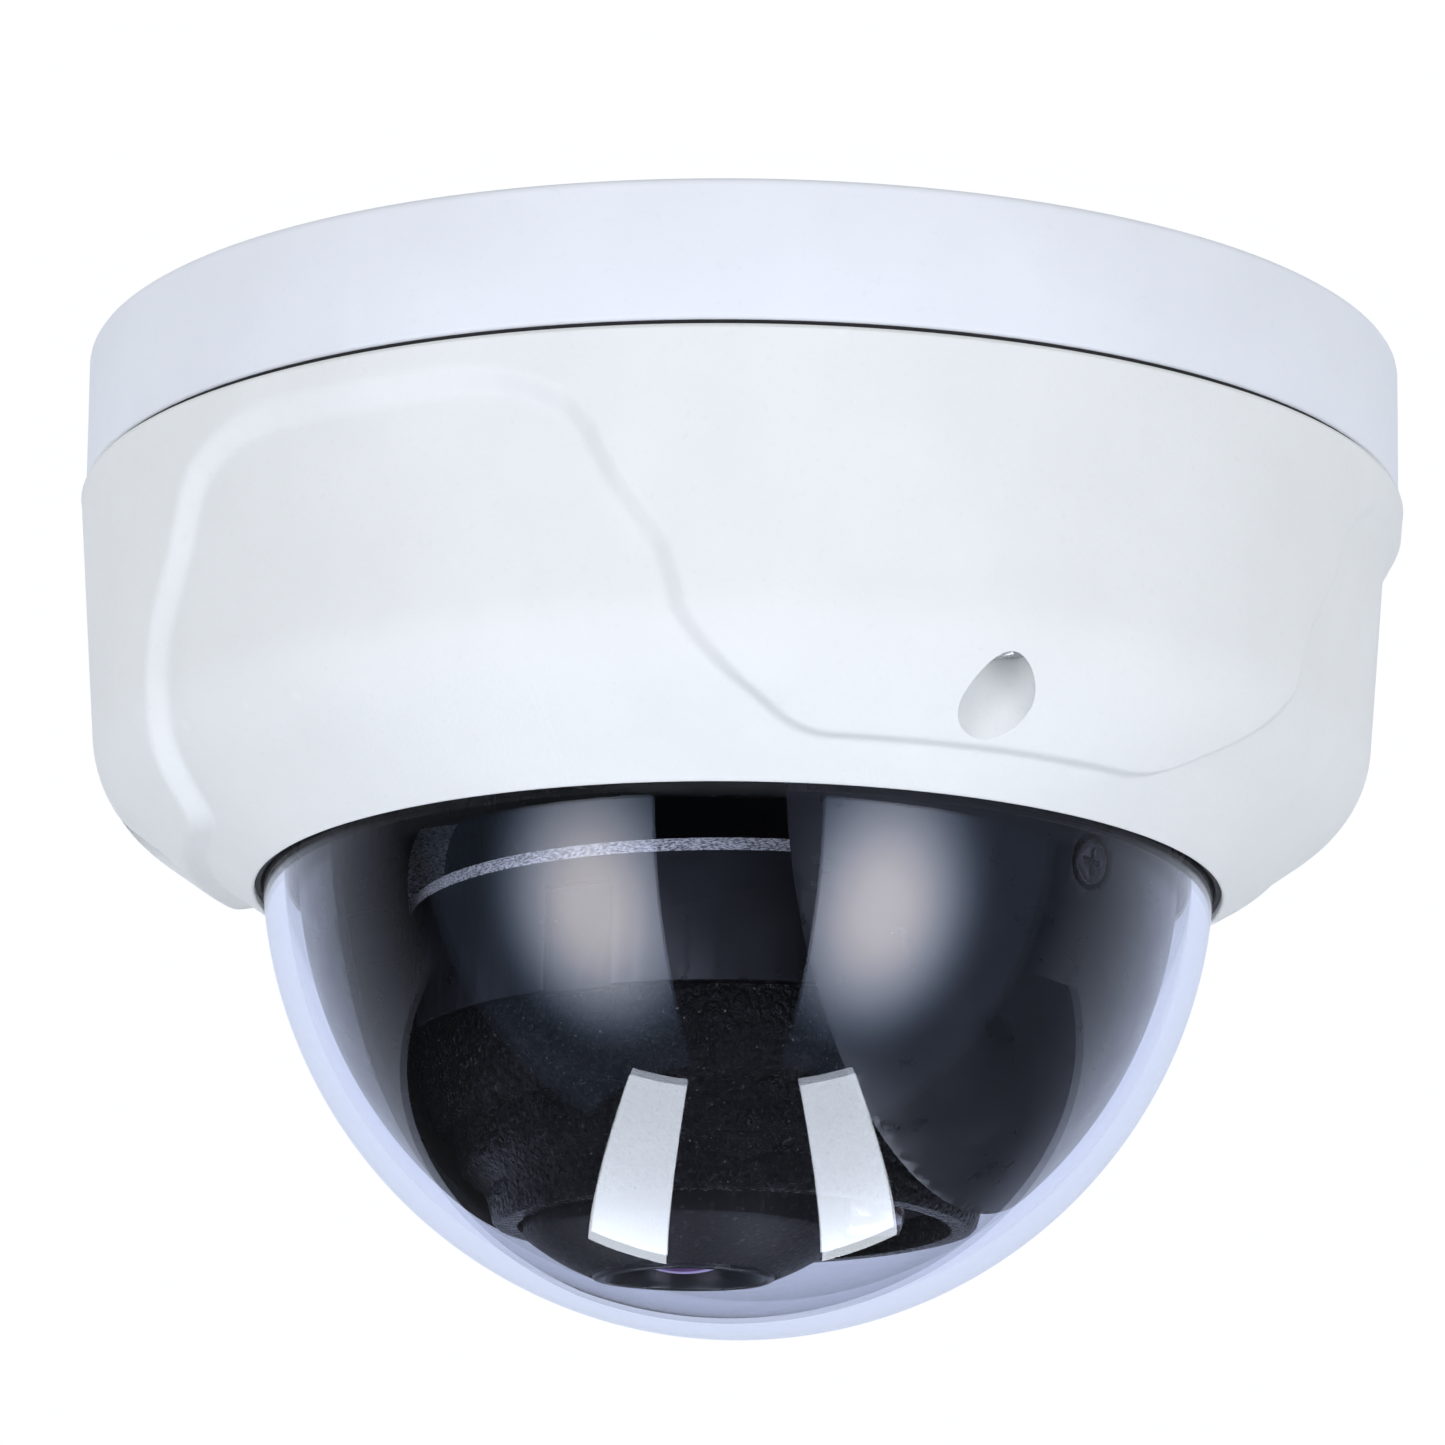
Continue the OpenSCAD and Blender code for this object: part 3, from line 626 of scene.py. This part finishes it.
def edge_distance(u, v, outline):
    """Distance of each (u, v) from a closed outline, negative inside it."""
    nearest = np.full(u.shape, 1e9)
    inside = np.zeros(u.shape, bool)
    for (u0, v0), (u1, v1) in zip(outline, outline[1:] + outline[:1]):
        length = max((u1 - u0) ** 2 + (v1 - v0) ** 2, 1e-12)
        t = np.clip(((u - u0) * (u1 - u0) + (v - v0) * (v1 - v0)) / length, 0, 1)
        nearest = np.minimum(nearest, np.hypot(u - u0 - t * (u1 - u0), v - v0 - t * (v1 - v0)))
        if v0 != v1:
            crosses = ((v0 > v) != (v1 > v)) & (u < (u1 - u0) * (v - v0) / (v1 - v0) + u0)
            inside ^= crosses
    return np.where(inside, -nearest, nearest)


def cover_mesh():
    """Grid of rings: down the outside, round the lip and up the inside, closed at the top."""
    recessed = cover_line(PANEL_DEPTH)
    raised = cover_line(0)
    raised[-40:] = recessed[-40:] + PANEL_DEPTH * np.array((math.sin(CHAMFER), -math.cos(CHAMFER)))
    along = np.concatenate([[0], np.cumsum(np.linalg.norm(np.diff(recessed, axis=0), axis=1))])
    height = (recessed[:, 1] + raised[:, 1]) / 2

    def at_height(z):
        return float(np.interp(-z, -height, along))

    # Close columns where the panels' edges run, wide ones elsewhere
    fine = np.arange(8, 45, 0.36)
    half = np.concatenate([np.arange(0, 8, 1.0), fine, np.arange(fine[-1] + 1, 60, 1.0)])
    third = np.concatenate([half, 120 - half[half > 0][::-1]])
    azimuth = np.concatenate([third + 120 * i for i in range(3)])
    offset = np.abs((azimuth + 60) % 120 - 60)
    u, v = np.meshgrid(offset * MM_PER_DEGREE, along)
    right = [(a * MM_PER_DEGREE, at_height(z)) for a, z in PANEL_EDGE[1:-1]]
    outline = right + [(-a, b) for a, b in reversed(right)]
    panel = edge_distance(u, v, outline)
    band = at_height(RELIEF_END) - v
    blend = 1.6
    mixed = np.clip(0.5 + 0.5 * (band - panel) / blend, 0, 1)
    distance = band * (1 - mixed) + panel * mixed - blend * mixed * (1 - mixed)
    step = np.clip(distance / STEP_WIDTH + 0.5, 0, 1)
    step = step * step * (3 - 2 * step)
    r = recessed[:, :1] + (raised - recessed)[:, :1] * step
    z = recessed[:, 1:] + (raised - recessed)[:, 1:] * step

    inner = cover_line(PANEL_DEPTH + COVER_WALL, (6, 8, 6))
    inner = [tuple(p) for p in inner if p[0] > SEAT_R + 0.1][::-1]
    seat_top = inner[0][1] - (inner[0][0] - SEAT_R) * math.tan(CHAMFER)
    shelf = COVER_TOP - 1
    inner = [p for p in inner if p[1] < shelf - 0.5]
    rings = [(LIP_R + 0.08, LIP_Z), (LIP_R, LIP_Z + 0.08), (LIP_R, SEAT_Z), (SEAT_R, SEAT_Z),
             (SEAT_R, seat_top), *inner, (COVER_R - PANEL_DEPTH - COVER_WALL, shelf),
             (BASE_R - 5, shelf), (BASE_R - 5, COVER_TOP + 3.3), (BASE_R - 4.8, COVER_TOP + 3.5),
             (BASE_R - 3.2, COVER_TOP + 3.5), (BASE_R - 3, COVER_TOP + 3.3),
             (BASE_R - 3, COVER_TOP), (COVER_R - 0.4, COVER_TOP), (COVER_R - 0.12, COVER_TOP - 0.12)]
    r[0], z[0] = COVER_R, COVER_TOP - 0.4
    r = np.vstack([r] + [np.full(r.shape[1], p[0]) for p in rings])
    z = np.vstack([z] + [np.full(z.shape[1], p[1]) for p in rings])
    a = np.radians(azimuth)
    points = np.stack([r * np.sin(a), -r * np.cos(a), z], axis=2) * MM
    rows, columns = r.shape
    index = np.arange(rows * columns).reshape(rows, columns)
    below, across = np.roll(index, -1, 0), np.roll(index, -1, 1)
    faces = np.stack([index, across, np.roll(below, -1, 1), below], axis=2).reshape(-1, 4)
    mesh = bpy.data.meshes.new("cover_shell_look")
    mesh.from_pydata(points.reshape(-1, 3).tolist(), [], faces.tolist())
    bm = bmesh.new()
    bm.from_mesh(mesh)
    bpy.data.meshes.remove(mesh)
    return from_bmesh("cover_shell_look", bm)


cover = cover_mesh()
inside = cover_line(PANEL_DEPTH + 0.4, (4, 12, 4))
core = lathe("core", [(0, inside[0][1]), *[tuple(p) for p in inside], (0, inside[-1][1])])
columns = merged([rod("column", 4.6, COVER_TOP - 1.2, LIP_Z - 2, at_azimuth(SCREW_AZ + 120 * i, SCREW_PCR))
                  for i in range(3)])
boolean(columns, [core], "INTERSECT")
boolean(cover, [columns], "UNION")
screw_seat = low("cover_screw_1", 2) + 3
cutters = [lathe("recess", [(0, LIP_Z - 4), (3.05, LIP_Z - 4), (3.05, screw_seat), (1.6, screw_seat),
                            (1.6, COVER_TOP - 1.2), (4, COVER_TOP - 1.2), (4, COVER_TOP + 5),
                            (0, COVER_TOP + 5)], 96, at_azimuth(SCREW_AZ + 120 * i, SCREW_PCR))
           for i in range(3)]
cutters += [rod("ring_screw_hole", 0.85, SEAT_Z + 1, SEAT_Z - 1.4, at_azimuth(30 + 60 * i, 41.4), 24)
            for i in range(6)]
boolean(cover, [merged(cutters)])
dress(soften(cover, 0, 48), "cover_shell")


# ---- Dome, its seal and the ring that clamps it ----

FLANGE_BOTTOM = SEAT_Z + 1.2
FLANGE_TOP = high("dome_bubble", 2)
INNER_R = DOME_R - DOME_WALL
dome = lathe("dome_bubble_look", [
    *arc((0, CENTRE_Z), DOME_R, -90, 0, 60), (DOME_R, FLANGE_BOTTOM),
    (SEAT_R - 0.4, FLANGE_BOTTOM), (SEAT_R - 0.3, FLANGE_BOTTOM + 0.1),
    (SEAT_R - 0.3, FLANGE_TOP - 0.1), (SEAT_R - 0.4, FLANGE_TOP), (INNER_R + 0.1, FLANGE_TOP),
    (INNER_R, FLANGE_TOP - 0.1), *arc((0, CENTRE_Z), INNER_R, 0, -90, 60)])
dress(soften(dome, 0, 30), "dome_bubble")

seal = lathe("dome_seal_look", [
    (DOME_R + 0.1, LIP_Z + 0.4), (LIP_R - 0.09, LIP_Z + 0.4), (LIP_R - 0.05, LIP_Z + 0.46),
    (LIP_R - 0.05, SEAT_Z), (SEAT_R - 0.4, SEAT_Z), (SEAT_R - 0.3, SEAT_Z + 0.1),
    (SEAT_R - 0.3, FLANGE_BOTTOM), (DOME_R + 0.1, FLANGE_BOTTOM)])
dress(soften(seal, 0, 40), "dome_seal")


# ---- Pan group: the liner is a black bowl with a slot for the camera ----

LINER_R, LINER_INNER = 36.7, 35.6
SLOT_HALF, SLOT_REAR = 20.5, 23
liner = lathe("liner_look", [
    *arc((0, CENTRE_Z), LINER_R, -90, 0, 48), (LINER_R, PAN_BOTTOM - 1.2),
    (42, PAN_BOTTOM - 1.2), (42, PAN_BOTTOM), (LINER_INNER, PAN_BOTTOM),
    *arc((0, CENTRE_Z), LINER_INNER, 0, -90, 48)])
slot_cut = block("slot", (2 * SLOT_HALF, 60 + SLOT_REAR), CENTRE_Z - 60, CENTRE_Z + 0.5,
                 (0, (SLOT_REAR - 60) / 2))
collar_cut = block("collar", (2 * SLOT_HALF, 60), CENTRE_Z - 1, CENTRE_Z + 20, (0, -30))
LINER_SCREW_AZ, LINER_SCREW_DROP = math.radians(78.5), 8
pocket = lathe("pocket", [(0, LINER_R - 4), (0.9, LINER_R - 4), (0.9, LINER_R - 0.7),
                          (2.3, LINER_R - 0.7), (2.3, LINER_R + 3), (0, LINER_R + 3)], 48)
tip(pocket, (0, 0, CENTRE_Z), LINER_SCREW_AZ, LINER_SCREW_DROP)
pockets = [pocket, mirrored(pocket, "pocket_left")]
pockets += [rod("pocket", 1.1, PAN_BOTTOM + 1, PAN_BOTTOM - 3, at_azimuth(a, 40.5), 32)
            for a in (45, 135, 225, 315)]
boolean(liner, [slot_cut, collar_cut, merged(pockets)])
dress(spin(soften(liner, 0.16, 40, 3), PAN_REST), "liner")


# ---- Tilt group: smooth housing with a finger groove at its front ----

FRAME_R, FRAME_TOP, FRAME_BOTTOM = 27.2, CENTRE_Z - 4.4, CENTRE_Z - 15.9
FRAME_WALL = 1.8
HIGHLIGHT_BAND = 1.0                  # band below the housing's top edge, painted as a highlight
MODULE_TOP = FRAME_BOTTOM - 0.3


def groove(name):
    return block(name, (6, 4.2), MODULE_TOP - 5.5, FRAME_TOP - 3, (0, -FRAME_R - 0.9))


frame_inner = FRAME_R - FRAME_WALL
housing = lathe("tilt_frame_look", [
    (FRAME_R, FRAME_BOTTOM), (FRAME_R, FRAME_TOP - HIGHLIGHT_BAND), (FRAME_R, FRAME_TOP),
    (frame_inner, FRAME_TOP), (frame_inner, FRAME_BOTTOM + 1.6),
    (FRAME_R - 4, FRAME_BOTTOM + 1.6), (FRAME_R - 4, FRAME_BOTTOM)])
lugs, bores = [], []
for side in (1, -1):
    for parts, radius, x0, x1 in ((lugs, 7, frame_inner - 1, 28.1), (bores, 2.2, frame_inner - 3, 31)):
        lug = rod("lug", radius, x0, x1)
        lug.data.transform(Matrix.Translation((0, 0, CENTRE_Z * MM))
                           @ Matrix.Rotation(math.radians(90 * side), 4, "Y"))
        parts.append(lug)
boolean(housing, [merged(lugs)], "UNION")
boolean(housing, [merged(bores), groove("groove")])
dress(spin(soften(housing, 0.3, 40, 3), PAN_REST), "tilt_frame")
# Painted highlight: faces in the thin band at the housing's top outer edge take the light grey highlight
# material.
housing.data.materials.append(scratched_highlight_edge("painted_highlight_rim"))
for face in housing.data.polygons:
    place = face.center / MM
    if place.z > FRAME_TOP - HIGHLIGHT_BAND and abs(math.hypot(place.x, place.y) - FRAME_R) < 0.45:
        face.material_index = 1


# ---- Roll group: grained module, sparkling face, lens and infrared window ----

FACE_Z = RIM_Z + 3.5
PLATFORM_R, CROWN_Z, CROWN_CURVE = 13.2, CENTRE_Z - 36.2, 21.2
LENS_Z = CENTRE_Z - 33.6
module_inner = FRAME_R - 4.3 - 2
module = lathe("camera_module_look", [
    (FRAME_R - 0.2, MODULE_TOP), (FRAME_R - 0.7, MODULE_TOP - 3), (24.8, CENTRE_Z - 23),
    (23.5, CENTRE_Z - 23.3), (22.7, CENTRE_Z - 26), (22.5, CENTRE_Z - 26.6),
    (20.5, CENTRE_Z - 28.3), (19.8, RIM_Z + 0.4), (19.4, RIM_Z), (17.8, RIM_Z), (17.8, FACE_Z),
    (15.4, FACE_Z), (15.4, CENTRE_Z - 23), (module_inner, MODULE_TOP - 4),
    (module_inner, FRAME_BOTTOM + 3.2), (frame_inner - 0.3, FRAME_BOTTOM + 3.2),
    (frame_inner - 0.3, FRAME_BOTTOM + 1.9), (FRAME_R - 4.3, FRAME_BOTTOM + 1.9),
    (FRAME_R - 4.3, MODULE_TOP)])
post_low, post_high = RIM_Z + 7.3, FACE_Z + 12.2
post = [(1.2, post_low), (2.5, post_low), (2.5, post_high), (1.2, post_high)]
posts = merged([lathe("post", post, 48, (11 * i, 11 * j)) for i in (1, -1) for j in (1, -1)])
boolean(module, [spin(posts, ROLL_REST)], "UNION")
boolean(module, [spin(groove("module_groove"), PAN_REST)])
dress(soften(module, 0.22, 25, 3), "camera_module")

LENS_X, WINDOW_X = -4.1, 11.6
face = lathe("face_plate_look", [
    (0, FACE_Z + 2.4), (15.2, FACE_Z + 2.4), (15.2, FACE_Z), (17.6, FACE_Z), (17.6, FACE_Z - 0.9),
    (0, FACE_Z - 0.9)])
crown_edge = -90 + math.degrees(math.asin(PLATFORM_R / CROWN_CURVE))
platform = lathe("platform", [*arc((0, CROWN_Z + CROWN_CURVE), CROWN_CURVE, -90, crown_edge, 24),
                              (PLATFORM_R, FACE_Z - 0.1), (0, FACE_Z - 0.1)], 192, (LENS_X, 0))
light_box = block("light_box", (6, 8), FACE_Z + 1, FACE_Z + 4.6, (WINDOW_X, 0))
boolean(face, [platform, light_box], "UNION")
boolean(face, [rod("lens_bore", 7.6, FACE_Z + 6, CROWN_Z - 1, (LENS_X, 0), 128),
               block("window_cut", (4.6, 10.2), FACE_Z - 2, FACE_Z + 5.6, (WINDOW_X, 0))])
dress(spin(soften(whole_faces(face), 0.25, 35, 3), ROLL_REST), "face_plate")

trim = lathe("lens_trim_ring_look", [
    (6.2, FACE_Z + 2.4), (7.5, FACE_Z + 2.4), (7.5, LENS_Z - 1.1), (7.35, LENS_Z - 1.38),
    (7.0, LENS_Z - 1.5), (6.6, LENS_Z - 1.4), (6.2, LENS_Z - 0.4)], 128, (LENS_X, 0))
dress(spin(soften(trim, 0.06, 40), ROLL_REST), "lens_trim_ring")

front = arc((0, LENS_Z + 8.6), 9.5, -90, -53.9, 16)
lens = lathe("lens_glass_look", [*front, (5.6, LENS_Z + 6), (0, LENS_Z + 6)], 128, (LENS_X, 0))
dress(spin(soften(lens, 0, 35), ROLL_REST), "lens_glass")

window = block("infrared_window_look", (4.4, 10), RIM_Z + 0.4, FACE_Z + 1.4, (WINDOW_X, 0))
dress(spin(soften(window, 0.2, 35, 3), ROLL_REST), "infrared_window")


# ---- Everything else keeps its CAD shape with rounded edges ----

ROUNDED = {
    "base_gasket": 0, "cable_grommet": 0.3, "chassis_posts": 0.15, "chassis_ring": 0.25,
    "chassis_screws": 0.12, "main_board": 0.1, "board_standoffs": 0.12, "board_screws": 0.12,
    "processor_heatsink": 0.15, "network_connector": 0.12, "power_connector": 0.12,
    "board_capacitors": 0.25, "board_chips": 0.12, "ribbon_socket": 0.1, "card_socket": 0.1,
    "memory_card": 0.1, "reset_switch": 0.12, "reset_button": 0.15,
    "dome_retaining_ring": 0.2, "dome_ring_screws": 0.1, "cover_screw_1": 0.2,
    "cover_screw_2": 0.2, "cover_screw_3": 0.2, "pan_ring": 0.2, "pan_keeper": 0.12,
    "tilt_brackets": 0.2, "bracket_screws": 0.1, "liner_screws": 0.08, "tilt_pins": 0.12,
    "lens_barrel": 0.1, "led_board": 0.06, "infrared_leds": 0.06, "sensor_board": 0.08,
    "image_sensor": 0.06, "module_heatsink": 0.15, "module_screws": 0.1}
for node, width in ROUNDED.items():
    dress(refined(node, width), node)


# ---- Stage: pale floor below the hanging camera ----

FLOOR_Z = -1600
floor = block("floor", (7000, 7000), FLOOR_Z - 10, FLOOR_Z)
n = Nodes("pale_floor")
pale = n.mix(n.noise(90, 3), (0.78, 0.79, 0.81), (0.82, 0.83, 0.85))
path = n.add("ShaderNodeLightPath")
seen = n.math("MAXIMUM", path.outputs["Is Camera Ray"], path.outputs["Is Diffuse Ray"])
floor.data.materials.append(n.finish(n.mix(seen, (0.02, 0.02, 0.022), pale),
                                     n.spread(n.noise(40, 3), 0.3, 0.7, 0.7, 0.8)))


# ---- Camera at the photographed angle ----

VIEW_AZ, VIEW_RISE = math.radians(34), math.radians(13.7)
back = Vector((math.sin(VIEW_AZ) * math.cos(VIEW_RISE), -math.cos(VIEW_AZ) * math.cos(VIEW_RISE),
               -math.sin(VIEW_RISE)))
right = Vector((math.cos(VIEW_AZ), math.sin(VIEW_AZ), 0))
up = back.cross(right)
target = Vector((0, 0, -40)) * MM
camera_data = bpy.data.cameras.new("camera")
camera_data.lens = 223.6
camera_data.sensor_width = 36
camera_data.clip_start = 0.01
camera = bpy.data.objects.new("camera", camera_data)
bpy.context.scene.collection.objects.link(camera)
camera.location = target + back * 0.750
aim = target - right * 1.45 * MM + up * 9.46 * MM
facing = (aim - camera.location).to_track_quat("-Z", "Y")
camera.rotation_euler = (facing.to_matrix() @ Matrix.Rotation(math.radians(0.64), 3, "Z")).to_euler()
bpy.context.scene.camera = camera


# ---- Soft studio light: a white room that is dark behind the photographer, ----
# ---- two large soft boxes at the front, two strips under the dome and two  ----
# ---- weak fills at its sides                                               ----

centre = Vector((0, 0, CENTRE_Z * MM))
toward = Vector((back.x, back.y, 0)).normalized()


def direction(azimuth, elevation):
    """Unit vector at an azimuth from the view direction (right is positive) and elevation."""
    a, e = math.radians(azimuth), math.radians(elevation)
    return (toward * math.cos(a) + right * math.sin(a)) * math.cos(e) + Vector((0, 0, math.sin(e)))


def soft_box(name, side, reach=1.3, strength=5.6):
    """Curved sheet of light from 20 to 80 degrees off the view, brightest near its inner edge."""
    bm = bmesh.new()
    grid = [[bm.verts.new(centre + direction(side * (20 + 4 * i), 3 - 4 * j) * reach)
             for i in range(16)] for j in range(17)]
    for upper, lower in zip(grid, grid[1:]):
        for i in range(15):
            bm.faces.new((upper[i], upper[i + 1], lower[i + 1], lower[i]))
    sheet = from_bmesh(name, bm)
    sheet.visible_camera = False
    glow = Nodes(name)
    hot = centre + direction(side * 37, -21) * reach
    flattened = (1, 1, 0.68)        # makes the bright patch taller than it is wide
    away = glow.add("ShaderNodeVectorMath", operation="DISTANCE")
    glow.join(glow.stretched(flattened), away.inputs[0])
    away.inputs[1].default_value = [a * b for a, b in zip(hot, flattened)]
    fall = glow.add("ShaderNodeMapRange", interpolation_type="SMOOTHERSTEP")
    for key, value in (("From Min", 0.0), ("From Max", 0.70), ("To Min", strength), ("To Max", 0.16)):
        fall.inputs[key].default_value = value
    glow.join(away.outputs["Value"], fall.inputs["Value"])
    lamp = glow.add("ShaderNodeEmission")
    shade = glow.spread(away.outputs["Value"], 0.15, 0.55, 0, 1)
    glow.join(glow.mix(shade, (1.0, 0.96, 0.99), (0.54, 0.70, 1.0)), lamp.inputs["Color"])
    glow.join(fall.outputs["Result"], lamp.inputs["Strength"])
    glow.join(lamp.outputs[0], glow.output.inputs["Surface"])
    sheet.data.materials.append(glow.mat)


def area_light(name, power, place, colour=(1, 1, 1)):
    """Lamp that no camera ray sees."""
    lamp = bpy.data.lights.new(name, "AREA")
    lamp.energy = power
    lamp.color = colour
    obj = bpy.data.objects.new(name, lamp)
    bpy.context.scene.collection.objects.link(obj)
    obj.location = place
    obj.visible_camera = False
    return obj


def strip_light(name, side, drop=0.36, power=0.90):
    """Bright strip that runs front to back under the dome, drop metres below its centre."""
    width, length = 0.247 * drop, 1.12 * drop
    across, behind = (0.03 + side * 0.345) * drop, 0.115 * drop
    place = centre + right * across - toward * behind - Vector((0, 0, drop))
    obj = area_light(name, power, place, (0.86, 0.92, 1.0))
    obj.data.shape = "RECTANGLE"
    obj.data.size, obj.data.size_y = width, length
    obj.rotation_euler = (math.pi, 0, math.atan2(right.y, right.x))
    obj.visible_diffuse = False


def fill_light(name, azimuth, elevation, power, away=1.2, size=1.0):
    """Weak broad light for the painted body, left out of every mirror image."""
    heading = direction(azimuth, elevation)
    obj = area_light(name, power, centre + heading * away)
    obj.data.size = size
    obj.rotation_euler = heading.to_track_quat("Z", "Y").to_euler()
    obj.visible_glossy = False
    obj.visible_transmission = False


for name, side in (("left", -1), ("right", 1)):
    soft_box("soft_box_" + name, side)
    strip_light("strip_" + name, side)
for name, side_azimuth, power in (("left", -72, 0.50), ("right", 72, 0.50)):
    fill_light("fill_" + name, side_azimuth, -55, power)

world = bpy.data.worlds.new("white_room")
bpy.context.scene.world = world
world.use_nodes = True
tree = world.node_tree
sky = tree.nodes["Background"]


def world_node(kind, links, values=(), **settings):
    node = tree.nodes.new(kind)
    for key, value in settings.items():
        setattr(node, key, value)
    for key, value in values:
        node.inputs[key].default_value = value
    for key, socket in links:
        tree.links.new(socket, node.inputs[key])
    return node


ray = world_node("ShaderNodeLightPath", ())
heading = world_node("ShaderNodeTexCoord", ()).outputs["Generated"]
ahead = world_node("ShaderNodeVectorMath", [(0, heading)], [(1, toward)], operation="DOT_PRODUCT")
mirrored_room = world_node("ShaderNodeMapRange", [("Value", ahead.outputs["Value"])],
                           [("From Min", -0.75), ("From Max", 0.08), ("To Min", 1.0), ("To Max", 0.02)])
height = world_node("ShaderNodeSeparateXYZ", [(0, heading)]).outputs["Z"]
upper_room = world_node("ShaderNodeMapRange", [("Value", height)],
                        [("From Min", 0.04), ("From Max", 0.07), ("To Min", 0.0), ("To Max", 0.11)])
mirrored_room = world_node("ShaderNodeMath", [(0, mirrored_room.outputs["Result"]),
                                              (1, upper_room.outputs["Result"])], operation="MAXIMUM")
soft_room = world_node("ShaderNodeMapRange", [("Value", ahead.outputs["Value"])],
                       [("From Min", -0.4), ("From Max", 0.5), ("To Min", 1.0), ("To Max", 0.66)])
for_diffuse = world_node("ShaderNodeMix", [(0, ray.outputs["Is Diffuse Ray"]),
                                           (2, mirrored_room.outputs[0]),
                                           (3, soft_room.outputs["Result"])])
tint = world_node("ShaderNodeMix", [(0, ray.outputs["Is Glossy Ray"])],
                  [(6, (0.97, 0.98, 1.0, 1)), (7, (0.76, 0.83, 1.0, 1))], data_type="RGBA")
tree.links.new(tint.outputs[2], sky.inputs["Color"])
for_camera = world_node("ShaderNodeMix", [(0, ray.outputs["Is Camera Ray"]), (2, for_diffuse.outputs[0])],
                        [(3, 1.03)])
tree.links.new(for_camera.outputs[0], sky.inputs["Strength"])
bpy.context.scene.view_settings.view_transform = "Standard"

bpy.context.view_layer.update()
